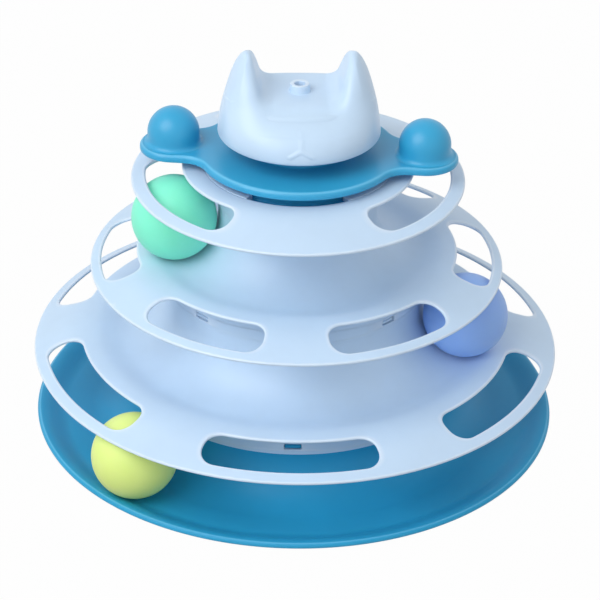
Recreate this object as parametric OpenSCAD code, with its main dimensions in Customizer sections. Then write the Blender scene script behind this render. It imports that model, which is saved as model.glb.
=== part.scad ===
// Cat ball track tower. A dished base and three snapped-on tiers form three ring tracks, one above
// the other, each with a captive ball. A two-armed spinner turns on the top tier's post, under a
// fixed cat-shaped cap with a socket for a wand. Azimuth 0 is the front, towards -Y.

/* [Balls] */
// Radius of each ball
ball_r = 20; // [19.5:0.1:20.3]
// Wall of each hollow ball
ball_wall = 1.2; // [0.8:0.1:2]
// Gap between a ball and the track under it
ball_gap = 0.3; // [0.2:0.05:0.5]
// Azimuth of the lower ball
lower_ball_az = -42.4; // [-180:1:180]
// Azimuth of the middle ball
middle_ball_az = 76.5; // [-180:1:180]
// Azimuth of the upper ball
upper_ball_az = -80.5; // [-180:1:180]

/* [Tracks] */
// Radius of the upper ball's path
upper_track_r = 58.2; // [54:0.1:66]
// Distance of the middle ball's path outside the upper one's
middle_track_out = 24.1; // [22.5:0.1:25.5]
// Distance of the lower ball's path outside the middle one's
lower_track_out = 25.2; // [22.5:0.1:28]
// Headroom over the lower ball, up to the middle track
lower_headroom = 2.8; // [2.2:0.1:5]
// Headroom over the middle ball, up to the upper track
middle_headroom = 3.8; // [3.2:0.1:6]
// Headroom over the upper ball, up to the top deck's crown
upper_headroom = 5.1; // [4.5:0.1:8]
// Play between the middle ball and the wall behind it
middle_play = 1.5; // [1:0.1:2]
// Play between the upper ball and the wall behind it
upper_play = 1; // [0.8:0.1:1.5]

/* [Base] */
// Distance of the base's lip outside the lower ball's path
lip_out = 17.5; // [17:0.5:20]
// Wall of the base
base_wall = 1.8; // [1.6:0.1:2.2]
// Distance of the base's neck inside the middle ball's path
base_neck_in = 4.1; // [2.5:0.1:6]
// Radius of the fillet from the base's floor to its neck
base_fillet_r = 20.5; // [18:0.5:22]
// Height of the rim above the base's floor
rim_rise = 4.4; // [3.5:0.1:5]
// Width of the slope up to the rim
rim_slope_w = 9.8; // [9:0.2:11]
// Radius of the rolled lip
lip_roll_r = 2.7; // [2.4:0.1:3.2]
// Radius of each pad
pad_r = 8; // [6:0.5:9]
// Thickness of each pad
pad_h = 1.2; // [1:0.1:2.5]
// Distance of the ring on which the pads lie inside the lower ball's path
pad_ring_in = 4.5; // [4:0.5:9]

/* [Tiers] */
// Wall of each tier
tier_wall = 1.7; // [1.5:0.1:2]
// Distance of the lower tier's lip outside the base's
lower_rim_out = 0.3; // [0:0.1:1]
// Distance of the middle tier's lip outside the middle ball's path
middle_rim_out = 15.2; // [14.5:0.1:16.5]
// Distance of the upper tier's lip outside the upper ball's path
upper_rim_out = 19.5; // [19:0.1:21]
// Distance of the lower tier's crown outside the middle ball's path
lower_crown_out = 14.2; // [13.8:0.1:15.2]
// Distance of the middle tier's crown outside the upper ball's path
middle_crown_out = 11.8; // [11.6:0.1:12.8]
// Height of the lower tier's crown above its track
lower_crown_h = 2.4; // [1.6:0.1:2.5]
// Height of the middle tier's crown above its track
middle_crown_h = 1.8; // [1.2:0.1:1.9]
// Radius of the arc by which each flange rolls outwards
crown_roll_r = 46; // [42:1:50]
// Slope of the lower two flanges at the lip, in degrees
flange_slope = 20.8; // [18:0.2:22]
// Slope of the upper flange at the lip, in degrees
upper_flange_slope = 15.6; // [13:0.2:18]

/* [Windows] */
// Width of each window across its flange
window_w = 17; // [14:0.5:17.5]
// Radius of each window's corners
window_corner_r = 6.6; // [4:0.2:7]
// Number of windows in each of the lower two tiers
window_count = 6; // [5:1:7]
// Angle spanned by each window of the lower tier, in degrees
lower_window_span = 41; // [34:1:43]
// Angle spanned by each window of the middle tier, in degrees
middle_window_span = 40; // [34:1:43]
// Angle spanned by each window of the upper tier, in degrees
upper_window_span = 67.6; // [56:1:72]
// Azimuth of the upper tier's side windows, in degrees
upper_window_az = 64.3; // [62:0.2:68]
// Width of the lower tier's flange outside its windows
lower_band_w = 5.4; // [4.5:0.1:6]
// Width of the middle tier's flange outside its windows
middle_band_w = 4.7; // [4.2:0.1:6]
// Width of the upper tier's flange outside its windows
upper_band_w = 6.5; // [5:0.1:7]
// Turn of the lower tier on the base, in degrees
lower_turn = -0.5; // [-5:0.1:5]
// Turn of the middle tier, in degrees
middle_turn = 0.6; // [-5:0.1:5]
// Turn of the upper tier, in degrees
upper_turn = 2; // [-5:0.1:5]

/* [Joints between levels] */
// Height of the base's shoulder above its fillet
lower_shoulder_up = 1.2; // [0.5:0.1:3]
// Height of the lower tier's shoulder above its fillet
middle_shoulder_up = 4.5; // [2.5:0.1:6]
// Height of the middle tier's shoulder above its fillet
upper_shoulder_up = 4.8; // [2.5:0.1:6]
// Height of each spigot above its shoulder
spigot_h = 8; // [7:0.5:9]
// How far each skirt stands proud of the neck under it
skirt_proud = 0.3; // [0.1:0.05:0.4]
// Clearance between a spigot and the skirt round it
spigot_gap = 0.2; // [0.1:0.05:0.3]
// Number of snap lugs on each spigot
lug_count = 4; // [3:1:5]
// Width of each snap slot
slot_w = 8; // [6:0.5:10]
// Height of each snap slot
slot_h = 3; // [2.6:0.2:4]
// Height of each slot above the skirt's edge
slot_up = 2.7; // [2:0.1:3.2]
// Clearance round each snap lug in its slot
lug_gap = 0.4; // [0.2:0.1:0.6]

/* [Turntable] */
// Distance of the well under the spinner inside the upper ball's path
well_in = 12.4; // [12:0.1:14]
// Radius of the well's rounded edge
well_edge_r = 2.5; // [2.2:0.1:3]
// Depth of the well below the top deck
well_depth = 5.6; // [5:0.1:6]
// Radius of the post that carries the spinner and the cap
post_r = 9; // [8:0.2:10]
// Wall of the post
post_wall = 1.8; // [1.5:0.1:2.2]
// Azimuth of each catch from the front, or from the back
catch_az = 31.7; // [28:0.5:40]
// Width of each catch
catch_w = 7; // [5:0.5:8]
// Height of each catch above the top deck
catch_h = 2.8; // [2:0.1:3]
// How far each catch reaches in over the well
catch_reach = 3.4; // [3:0.1:3.8]
// Radius of the thrust washer
washer_r = 15; // [13.5:0.5:18]
// Thickness of the thrust washer
washer_h = 1; // [0.6:0.1:1.4]

/* [Spinner] */
// How far the spinner's disc reaches out past the well
disc_out = 1; // [0.4:0.1:2]
// Distance between each knob and the cap
knob_gap = 7.9; // [6:0.1:10]
// Half the width of each arm, and the radius of its round end
arm_r = 15.3; // [14:0.1:16.5]
// Radius of the fillet between the disc and each arm
arm_fillet_r = 12; // [9:0.5:14]
// Thickness of the spinner's plate at its edge
plate_h = 3.7; // [3:0.1:4.2]
// Skin of the spinner, over its hollow underside
spinner_skin = 1.9; // [1.6:0.1:2.2]
// Height of the plate's underside above the top deck
plate_lift = 3.7; // [3.4:0.1:5]
// Radius of each knob
knob_r = 12; // [10:0.2:12.6]
// Height of each knob's straight side above the plate
knob_side_h = 5; // [4:0.2:6]
// Radius of the fillet at the foot of each knob
knob_fillet_r = 2.4; // [1.5:0.1:2.6]
// Turn of the spinner at rest, in degrees
spinner_turn = -4.2; // [-30:0.1:30]
// Distance of the drum under the spinner inside the well
drum_in = 4.8; // [4.4:0.1:5.6]
// How far the drum's lip stands out
drum_lip = 2.6; // [2.2:0.1:2.8]
// Height of the spinner's boss above the plate
boss_h = 7.6; // [6:0.1:8]
// Radius of the boss at its foot
boss_r = 21; // [17:0.5:22]
// Radius of the boss at its top
boss_top_r = 17; // [14:0.5:17]

/* [Cap] */
// Radius of the cat-shaped cap at its lower edge
cap_r = 37.6; // [35:0.2:39]
// Height of the cap, from its lower edge to the tips of its ears
cap_h = 39.6; // [37:0.2:42]
// Height of the cap's lower edge above the spinner's boss
cap_lift = 1.3; // [1:0.1:2]
// Wall of the cap
cap_wall = 2; // [1.6:0.1:2.4]
// Distance of each ear's tip from the middle
ear_at = 24.3; // [23:0.1:25.5]
// Radius of each ear's rounded tip
ear_tip_r = 4.3; // [3.6:0.1:4.6]
// Half the width of the flat floor between the ears
saddle_half_w = 11; // [10:0.2:12]
// Radius of the curve from that floor up to each ear
saddle_r = 8; // [7:0.2:8.4]
// Radius of the wand socket's tube
socket_tube_r = 4.4; // [4:0.1:5]
// Height of the socket's tube above the floor between the ears
socket_tube_h = 3.7; // [3:0.1:5]
// Radius of the wand socket's bore
socket_r = 2.5; // [2:0.1:3]
// Depth of the wand socket
socket_depth = 10; // [8:0.5:10.5]

/* [Screw] */
// Radius of the screw's shank
screw_r = 1.5; // [1.2:0.1:1.8]
// Length of the screw's shank
screw_len = 11; // [9:0.5:11.5]
// Radius of the screw's pan head
screw_head_r = 2.9; // [2.6:0.1:3.4]
// Height of the screw's pan head
screw_head_h = 2.1; // [1.6:0.1:2.4]

/* [Hidden] */

// Anti-slip pads under the base, as many as the list above names
pad_count = 6;

// Smoothness of the round surfaces, and steps along each curved stretch of a profile
$fn = 96;
arc_steps = 10;
curve_steps = 8;

teal = "#2B92C4";
pale_blue = "#C5DCF4";

// Overrun of every cut past the solid that it cuts
over = pad_h;
// Overrun of each round corner past the edges that it joins, so that it crosses them cleanly
corner_overrun = 0.02;

// Radii of the balls' paths, of the base, and of the ring of pads under it
middle_track_r = upper_track_r + middle_track_out;
lower_track_r = middle_track_r + lower_track_out;
base_r = lower_track_r + lip_out;
base_neck_r = middle_track_r - base_neck_in;
pad_ring_r = lower_track_r - pad_ring_in;

// Radii of the tiers' lips and crowns
lower_rim_r = base_r + lower_rim_out;
middle_rim_r = middle_track_r + middle_rim_out;
upper_rim_r = upper_track_r + upper_rim_out;
lower_crown_at = middle_track_r + lower_crown_out;
middle_crown_at = upper_track_r + middle_crown_out;

// Heights of the three tracks and of the top deck's crown, each a ball and its headroom above the last
run_h = 2 * ball_r + ball_gap;
lower_z = pad_h + base_wall;
middle_z = lower_z + run_h + lower_headroom;
upper_z = middle_z + run_h + middle_headroom;
deck_z = upper_z + run_h + upper_headroom;

// Walls behind the two upper tracks, set by the balls that run past them
middle_fillet_r = ball_r + middle_play;
upper_fillet_r = ball_r + upper_play;
middle_neck_r = middle_track_r - middle_fillet_r;
upper_neck_r = upper_track_r - upper_fillet_r;

// Shoulders on which the tiers' skirts stand
lower_shoulder_z = lower_z + base_fillet_r + lower_shoulder_up;
middle_shoulder_z = middle_z + middle_fillet_r + middle_shoulder_up;
upper_shoulder_z = upper_z + upper_fillet_r + upper_shoulder_up;

// Turntable radii: the well, the spinner's drum and disc in and over it, and the knobs round the cap
well_r = upper_track_r - well_in;
drum_r = well_r - drum_in;
disc_r = well_r + disc_out;
knob_at = cap_r + knob_gap + knob_r;

// Turntable levels, from the well's floor up to the cap's lower edge
well_z = deck_z - well_depth;
hub_z = well_z + washer_h + ball_gap;
plate_z = deck_z + plate_lift;
plate_top = plate_z + plate_h;
boss_top = plate_top + boss_h;
cap_z = boss_top + cap_lift;
cap_cup_z = boss_top + cap_lift / 2;
journal_gap = 0.08;
cup_gap = 0.1;

// The post ends in a web that the screw clamps against the cap's inner cup
post_web_h = 3;
cup_depth = 5;
cup_wall = 2.4;
post_top = cap_cup_z + cup_depth;
saddle_z_share = 0.508;
saddle_z = cap_z + cap_h * saddle_z_share;
pilot_gap = 0.05;
pilot_extra = 0.5;
drive_share = 0.45;

// Catches and the lip that they hold down
catch_nose_share = 0.57;
catch_nose_z = well_z + well_depth * catch_nose_share;
catch_nose_h = 1.2;
catch_top = deck_z + catch_h;
drum_lip_h = 1.6;
drum_z = well_z + washer_h;

// Cap sections: height of each section, half-depth of the cap there, both as shares
section_h_shares = [0, 0.1, 0.2, 0.3, 0.4, 0.5, 0.6, 0.7, 0.8, 0.88, 0.94, 1];
section_depth_shares = [1, 0.98, 0.925, 0.845, 0.745, 0.625, 0.565, 0.525, 0.45, 0.355, 0.26, 0.12];
side_lean_share = 0.257;
side_lean_power = 1.41;
back_lean_share = 0.06;
cap_sides = 48;

// Half the width of the cap at a share of its height
function cap_half_w(s, r) = r * (1 - side_lean_share * pow(s, side_lean_power));
// Half the depth of the cap at a share of its height
function cap_half_d(s, r) = r * lookup(s, [for (i = [0:len(section_h_shares) - 1])
    [section_h_shares[i], section_depth_shares[i]]]);
// How far the cap leans forward at a share of its height
function cap_lean(s) = -cap_r * back_lean_share * min(1, s / saddle_z_share);

// Points on an arc about c, from angle a to angle b
function arc(c, r, a, b) = [for (i = [0:arc_steps])
    let (t = a + (b - a) * i / arc_steps) c + r * [cos(t), sin(t)]];
// Points on a smooth step from p to q, level at both ends
function ease(p, q) = [for (i = [1:curve_steps])
    let (s = i / curve_steps) [p[0] + (q[0] - p[0]) * s, p[1] + (q[1] - p[1]) * (1 - cos(180 * s)) / 2]];
// Direction across a line of points at point i, to the right of its run
function across(p, i) = let (n = len(p) - 1, d = p[min(i + 1, n)] - p[max(i - 1, 0)])
    [d[1], -d[0]] / norm(d);
// Middle of the edge at which a sheet of wall t ends
function sheet_end(p, t) = p[len(p) - 1] + across(p, len(p) - 1) * t / 2;
// End of a flange that starts at its crown and falls at a slope to a lip of radius r
function flange(crown, slope, r, t) =
    let (a = arc(crown - [0, crown_roll_r], crown_roll_r, 90, 90 - slope),
         e = a[arc_steps],
         w = r - t / 2 + sin(slope) * t / 2 - e[0])
    concat(a, [e + w * [1, -tan(slope)]]);

// A sheet of wall t under a line of points, with a round edge at its outer end
module sheet(p, t) {
    n = len(p) - 1;
    polygon(concat(p, [for (i = [n:-1:0]) p[i] + across(p, i) * t]));
    translate(sheet_end(p, t)) circle(d = t);
}

// A ring with a rectangular section, from radius a to b and from height z0 to z1
module band(a, b, z0, z1) {
    translate([a, z0]) square([b - a, z1 - z0]);
}

// Copies of a child at even azimuths
module around(count, start = 0) {
    for (i = [0:count - 1]) rotate([0, 0, start + i * 360 / count]) children();
}

// Outline of a window between radii a and b, across an angle, with round corners
module window_outline(a, b, span, corner) {
    inner_at = a + corner;
    outer_at = b - corner;
    half = span / 2;
    inner_az = half - asin(corner / inner_at);
    outer_az = half - asin(corner / outer_at);
    reach = 2 * b;
    intersection() {
        difference() {
            circle(r = b);
            circle(r = a);
        }
        polygon([
            [0, 0], inner_at * [-sin(inner_az), -cos(inner_az)], outer_at * [-sin(outer_az), -cos(outer_az)],
            reach * [-sin(outer_az), -cos(outer_az)], reach * [sin(outer_az), -cos(outer_az)],
            outer_at * [sin(outer_az), -cos(outer_az)], inner_at * [sin(inner_az), -cos(inner_az)]
        ]);
    }
    intersection() {
        difference() {
            circle(r = outer_at);
            circle(r = inner_at);
        }
        polygon([[0, 0], reach * [-sin(half), -cos(half)], reach * [sin(half), -cos(half)]]);
    }
    for (side = [-1, 1]) {
        translate(inner_at * [side * sin(inner_az), -cos(inner_az)]) circle(r = corner + corner_overrun);
        translate(outer_at * [side * sin(outer_az), -cos(outer_az)]) circle(r = corner + corner_overrun);
    }
}

// Windows cut down through a flange
module windows(rim_r, band_w, span, z, azimuths) {
    for (az = azimuths) {
        rotate([0, 0, az]) translate([0, 0, z - crown_roll_r / 2]) linear_extrude(crown_roll_r)
            window_outline(rim_r - band_w - window_w, rim_r - band_w, span, window_corner_r);
    }
}

// Section of a shoulder and the spigot that stands on it
module spigot_section(neck_r, shoulder_z, wall, skirt_wall) {
    outer = neck_r + skirt_proud - skirt_wall - spigot_gap;
    band(outer - wall, outer, shoulder_z - wall, shoulder_z + spigot_h);
    band(outer - wall, neck_r, shoulder_z - wall, shoulder_z);
}

// Snap lugs on a spigot: a ramp that ends in a flat catch face, cut to the slots' width
module lugs(neck_r, shoulder_z, skirt_wall) {
    spigot_r = neck_r + skirt_proud - skirt_wall - spigot_gap;
    low = shoulder_z + slot_up + lug_gap;
    high = shoulder_z + slot_up + slot_h - lug_gap;
    intersection() {
        rotate_extrude() polygon([
            [spigot_r - skirt_wall / 2, low], [spigot_r + spigot_gap + skirt_wall / 2, low],
            [spigot_r + spigot_gap + skirt_wall / 2, (low + high) / 2], [spigot_r - skirt_wall / 2, high]
        ]);
        around(lug_count) translate([-slot_w / 2 + lug_gap, -neck_r - over, 0])
            cube([slot_w - 2 * lug_gap, neck_r, high + over]);
    }
}

// Snap slots cut through a skirt
module slots(neck_r, shoulder_z) {
    around(lug_count) translate([-slot_w / 2, -neck_r - over, shoulder_z + slot_up])
        cube([slot_w, neck_r / 2, slot_h]);
}

// Section of a tier that carries a track: fillet, track, crown and flange, with its skirt and spigot
module tier_section(skirt_r, skirt_z, neck_r, track_z, fillet_r, shoulder_z, crown, rim_r) {
    floor_at = [neck_r + fillet_r, track_z];
    sheet(concat([[neck_r, shoulder_z]], arc(floor_at + [0, fillet_r], fillet_r, 180, 270),
        ease(floor_at, crown), flange(crown, flange_slope, rim_r, tier_wall)), tier_wall);
    spigot_section(neck_r, shoulder_z, tier_wall, tier_wall);
    band(skirt_r - tier_wall, skirt_r, skirt_z, track_z - tier_wall / 2);
}

module base_tray() {
    rim_at = [base_r - lip_roll_r, lower_z + rim_rise];
    foot_at = [rim_at[0] - rim_slope_w, lower_z];
    fillet_at = [base_neck_r + base_fillet_r, lower_z + base_fillet_r];
    lip_turn = 80;
    color(teal) union() {
        rotate_extrude() {
            sheet(concat([[base_neck_r, lower_shoulder_z]], arc(fillet_at, base_fillet_r, 180, 270),
                [foot_at], ease(foot_at, rim_at),
                arc(rim_at - [0, lip_roll_r], lip_roll_r, 90, 90 - lip_turn)), base_wall);
            spigot_section(base_neck_r, lower_shoulder_z, base_wall, tier_wall);
        }
        lugs(base_neck_r, lower_shoulder_z, tier_wall);
    }
}

module foot_pad(i) {
    color("#2A2E33") rotate([0, 0, i * 360 / pad_count]) translate([0, -pad_ring_r, 0])
        cylinder(r = pad_r, h = pad_h);
}

module lower_tier() {
    crown = [lower_crown_at, middle_z + lower_crown_h];
    color(pale_blue) rotate([0, 0, lower_turn]) {
        difference() {
            rotate_extrude() tier_section(base_neck_r + skirt_proud, lower_shoulder_z, middle_neck_r,
                middle_z, middle_fillet_r, middle_shoulder_z, crown, lower_rim_r);
            windows(lower_rim_r, lower_band_w, lower_window_span, crown[1],
                [for (i = [0:window_count - 1]) i * 360 / window_count]);
            rotate([0, 0, -lower_turn]) slots(base_neck_r, lower_shoulder_z);
        }
        rotate([0, 0, middle_lug_az()]) lugs(middle_neck_r, middle_shoulder_z, tier_wall);
    }
}

// The middle joint's lugs lie half a pitch from those of the other two
function middle_lug_az() = 180 / lug_count;

module middle_tier() {
    crown = [middle_crown_at, upper_z + middle_crown_h];
    start = 180 / window_count;
    color(pale_blue) rotate([0, 0, middle_turn]) {
        difference() {
            rotate_extrude() tier_section(middle_neck_r + skirt_proud, middle_shoulder_z, upper_neck_r,
                upper_z, upper_fillet_r, upper_shoulder_z, crown, middle_rim_r);
            windows(middle_rim_r, middle_band_w, middle_window_span, crown[1],
                [for (i = [0:window_count - 1]) start + i * 360 / window_count]);
            rotate([0, 0, lower_turn - middle_turn + middle_lug_az()])
                slots(middle_neck_r, middle_shoulder_z);
        }
        lugs(upper_neck_r, upper_shoulder_z, tier_wall);
    }
}

// The top deck, its windows, the well under the spinner, the catches and the hollow post
module upper_tier() {
    crown = [well_r + well_edge_r, deck_z];
    skirt_r = upper_neck_r + skirt_proud;
    color(pale_blue) rotate([0, 0, upper_turn]) {
        difference() {
            rotate_extrude() {
                sheet(concat([[well_r, well_z]], arc(crown - [0, well_edge_r], well_edge_r, 180, 90),
                    flange(crown, upper_flange_slope, upper_rim_r, tier_wall)), tier_wall);
                band(post_r - post_wall, well_r + tier_wall, well_z - tier_wall, well_z);
                band(skirt_r - tier_wall, skirt_r, upper_shoulder_z, well_z - tier_wall / 2);
                band(post_r - post_wall, post_r, well_z - tier_wall, post_top);
                band(screw_r + journal_gap, post_r, post_top - post_web_h, post_top);
            }
            windows(upper_rim_r, upper_band_w, upper_window_span, deck_z,
                [-upper_window_az, upper_window_az, 180]);
            rotate([0, 0, middle_turn - upper_turn]) slots(upper_neck_r, upper_shoulder_z);
        }
        rotate([0, 0, -upper_turn]) catches();
    }
}

// Hooks on the well's edge that hold the spinner's lip down
module catches() {
    nose_r = well_r - catch_reach;
    intersection() {
        rotate_extrude() polygon([
            [well_r + tier_wall / 2, catch_nose_z], [nose_r, catch_nose_z],
            [nose_r, catch_nose_z + catch_nose_h], [well_r - tier_wall, catch_top],
            [well_r + tier_wall, catch_top], [well_r + tier_wall, deck_z - tier_wall],
            [well_r + tier_wall / 2, deck_z - tier_wall]
        ]);
        for (az = [-catch_az, catch_az, 180 - catch_az, 180 + catch_az]) {
            rotate([0, 0, az]) translate([-catch_w / 2, -2 * well_r, catch_nose_z - over])
                cube([catch_w, 2 * well_r, catch_top]);
        }
    }
}

// A hollow ball on its track, at an azimuth
module ball(track_r, track_z, az) {
    rotate([0, 0, az]) translate([0, -track_r, track_z + ball_r + ball_gap]) difference() {
        sphere(r = ball_r);
        sphere(r = ball_r - ball_wall);
    }
}

module lower_ball() {
    color("#D6EC86") ball(lower_track_r, lower_z, lower_ball_az);
}

module middle_ball() {
    color("#8AA8EE") ball(middle_track_r, middle_z, middle_ball_az);
}

module upper_ball() {
    color("#6BEFC0") ball(upper_track_r, upper_z, upper_ball_az);
}

module thrust_washer() {
    color("white") translate([0, 0, well_z]) difference() {
        cylinder(r = washer_r, h = washer_h);
        translate([0, 0, -over]) cylinder(r = post_r + cup_gap, h = washer_h + 2 * over);
    }
}

// Outline of the spinner, drawn in by a margin: a disc and two arms, joined by fillets
module spinner_outline(margin) {
    r = disc_r - margin;
    half = arm_r - margin;
    f = arm_fillet_r + margin;
    fillet_at = [sqrt(pow(r + f, 2) - pow(half + f, 2)), half + f];
    circle(r = r);
    for (side = [-1, 1]) {
        translate([side * knob_at, 0]) circle(r = half);
        translate([min(0, side * knob_at), -half]) square([knob_at, 2 * half]);
        for (edge = [-1, 1]) difference() {
            polygon([for (p = [[0, 0], fillet_at * r / (r + f), fillet_at, [fillet_at[0], half],
                [fillet_at[0], 0]]) [side * p[0], edge * p[1]]]);
            translate([side * fillet_at[0], edge * fillet_at[1]]) circle(r = f);
        }
    }
}

// The two-armed spinner: a hollow plate with a knob on each arm, a boss, a drum and a bearing tube
module spinner() {
    tube_r = post_r + cup_wall + tier_wall;
    color(teal) rotate([0, 0, spinner_turn]) difference() {
        union() {
            difference() {
                translate([0, 0, plate_z]) linear_extrude(plate_h) spinner_outline(0);
                translate([0, 0, plate_z - over]) linear_extrude(plate_h - spinner_skin + over)
                    spinner_outline(spinner_skin);
                cylinder(r = boss_r - spinner_skin, h = boss_top);
            }
            difference() {
                translate([0, 0, plate_top - spinner_skin])
                    cylinder(r1 = boss_r, r2 = boss_top_r, h = boss_h + spinner_skin);
                translate([0, 0, plate_top - spinner_skin - over])
                    cylinder(r1 = boss_r - spinner_skin, r2 = boss_top_r - spinner_skin, h = boss_h + over);
            }
            translate([0, 0, hub_z]) cylinder(r = tube_r, h = boss_top - hub_z);
            rotate_extrude() {
                band(drum_r - spinner_skin, drum_r, drum_z, plate_top - spinner_skin / 2);
                band(drum_r - spinner_skin, drum_r + drum_lip, drum_z, drum_z + drum_lip_h);
            }
            for (side = [-1, 1]) translate([side * knob_at, 0, 0]) knob();
        }
        for (side = [-1, 1]) translate([side * knob_at, 0, plate_z - over])
            dome(knob_r - spinner_skin, plate_h + knob_side_h + over);
        cylinder(r = post_r + journal_gap, h = cap_z);
    }
}

// A straight-sided dome, round at its top
module dome(r, side_h) {
    cylinder(r = r, h = side_h);
    translate([0, 0, side_h]) difference() {
        sphere(r = r);
        translate([-2 * r, -2 * r, -4 * r - side_h / 2]) cube(4 * r);
    }
}

// A round-topped knob with a fillet at its foot
module knob() {
    translate([0, 0, plate_top - spinner_skin]) dome(knob_r, knob_side_h + spinner_skin);
    translate([0, 0, plate_top]) rotate_extrude() difference() {
        translate([knob_r - spinner_skin / 2, -spinner_skin / 2])
            square([knob_fillet_r + spinner_skin / 2, knob_fillet_r + spinner_skin / 2]);
        translate([knob_r + knob_fillet_r, knob_fillet_r]) circle(r = knob_fillet_r);
    }
}

// A body of oval sections stacked from share s0 to s1 of the cap's height, drawn in by a margin
module cap_body(s0, s1, margin) {
    shares = concat([s0], [for (s = section_h_shares) if (s > s0 && s < s1) s], [s1]);
    n = len(shares);
    ring_of = [for (s = shares) [for (j = [0:cap_sides - 1])
        let (a = 360 * j / cap_sides)
        [(cap_half_w(max(s, 0), cap_r) - margin) * cos(a),
         (cap_half_d(max(s, 0), cap_r) - margin) * sin(a) + cap_lean(max(s, 0)), s * cap_h]]];
    points = [for (ring = ring_of) each ring];
    sides = [for (i = [0:n - 2]) for (j = [0:cap_sides - 1])
        let (k = (j + 1) % cap_sides, b = i * cap_sides, t = b + cap_sides)
        each [[b + j, t + j, t + k], [b + j, t + k, b + k]]];
    lid = [[for (j = [0:cap_sides - 1]) j],
        [for (j = [cap_sides - 1:-1:0]) (n - 1) * cap_sides + j]];
    polyhedron(points = points, faces = concat(sides, lid));
}

// Front view of the space above the cap: the saddle between the ears, and all above the ears
module above_ears() {
    tip_z = cap_h - ear_tip_r;
    floor_z = saddle_z - cap_z;
    curve_z = floor_z + saddle_r;
    wide = 2 * cap_r;
    difference() {
        translate([-wide, floor_z]) square([2 * wide, cap_h]);
        for (side = [-1, 1]) {
            difference() {
                polygon([for (p = [
                    [saddle_half_w, 0], [saddle_half_w, curve_z], [saddle_half_w + saddle_r, curve_z],
                    [ear_at - ear_tip_r, tip_z], [ear_at, tip_z], [ear_at + ear_tip_r, tip_z], [wide, 0]
                ]) [side * p[0], p[1]]]);
                translate([side * saddle_half_w, curve_z]) circle(r = saddle_r);
            }
            translate([side * ear_at, tip_z]) circle(r = ear_tip_r);
        }
    }
}

// The cat-shaped cap: a hollow oval body with two ears, an inner cup over the post, and the socket
module cat_cap() {
    cup_r = post_r + cup_gap + cup_wall;
    column_r = socket_tube_r;
    roof_share = (saddle_z - cap_z - cap_wall) / cap_h;
    cup_z = cap_cup_z - cap_z;
    color(pale_blue) translate([0, 0, cap_z]) difference() {
        union() {
            difference() {
                cap_body(0, 1, 0);
                cap_body(-over / cap_h, roof_share, cap_wall);
                rotate([90, 0, 0]) translate([0, 0, -2 * cap_r]) linear_extrude(4 * cap_r) above_ears();
            }
            translate([0, 0, cup_z]) cylinder(r = cup_r, h = cup_depth + cup_wall);
            translate([0, 0, cup_z + cup_depth])
                cylinder(r = column_r, h = saddle_z + socket_tube_h - cap_z - cup_z - cup_depth);
        }
        translate([0, 0, cup_z - over]) cylinder(r = post_r + cup_gap, h = cup_depth + over);
        translate([0, 0, cup_z]) cylinder(r = screw_r + pilot_gap,
            h = cup_depth + screw_len - post_web_h + pilot_extra);
        translate([0, 0, saddle_z + socket_tube_h - cap_z - socket_depth])
            cylinder(r = socket_r, h = socket_depth + over);
    }
}

// A pan-head screw, driven up through the post's web into the cap
module cap_screw() {
    seat_z = post_top - post_web_h;
    drive_r = screw_head_r * drive_share;
    color("silver") difference() {
        union() {
            translate([0, 0, seat_z - screw_head_h]) cylinder(r = screw_head_r, h = screw_head_h);
            translate([0, 0, seat_z - screw_head_h / 2]) cylinder(r = screw_r, h = screw_len + screw_head_h / 2);
        }
        translate([0, 0, seat_z - screw_head_h - over])
            cylinder(r = drive_r, h = screw_head_h / 2 + over, $fn = 6);
    }
}

base_tray();
for (i = [0:pad_count - 1]) {
    foot_pad(i);
}
lower_tier();
middle_tier();
upper_tier();
lower_ball();
middle_ball();
upper_ball();
thrust_washer();
spinner();
cat_cap();
cap_screw();
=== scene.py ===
"""The looks of a cat ball track tower: moulded tiers, three balls, a spinner and a cat-shaped cap."""
import math

import bmesh
import bpy
import numpy as np
from mathutils import Matrix


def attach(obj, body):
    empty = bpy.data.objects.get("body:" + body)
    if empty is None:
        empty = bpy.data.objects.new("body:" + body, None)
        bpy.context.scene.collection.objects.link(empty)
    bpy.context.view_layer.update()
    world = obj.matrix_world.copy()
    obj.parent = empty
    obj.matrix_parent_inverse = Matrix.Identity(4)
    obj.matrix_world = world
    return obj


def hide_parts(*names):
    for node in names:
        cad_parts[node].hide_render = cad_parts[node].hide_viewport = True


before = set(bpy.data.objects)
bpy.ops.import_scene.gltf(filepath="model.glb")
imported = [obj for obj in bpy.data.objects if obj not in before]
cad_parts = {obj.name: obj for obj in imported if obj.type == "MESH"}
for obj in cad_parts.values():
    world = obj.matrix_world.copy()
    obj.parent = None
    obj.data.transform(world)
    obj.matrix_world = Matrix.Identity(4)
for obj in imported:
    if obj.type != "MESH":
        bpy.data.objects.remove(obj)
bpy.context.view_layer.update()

# Every length below is in millimetres and every angle in degrees, unless a comment says otherwise.
# Azimuth 0 is the front, towards -Y, and azimuth 90 is towards +X.
MM = 0.001

# Camera, as solved from the photograph, and its near and far limits in metres
CAMERA_AT = (1.98, -1022.28, 650.12)
CAMERA_RIGHT = (0.99981, 0.00984, 0.01709)
CAMERA_UP = (-0.01972, 0.49884, 0.86646)
CAMERA_BACK = (0.0, -0.86663, 0.49894)
LENS = 147.66
SENSOR = 36.0
CLIP = (0.05, 50.0)

# Steps round the tower, shared by all its turned surfaces so that their edges meet
AROUND = 288

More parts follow.
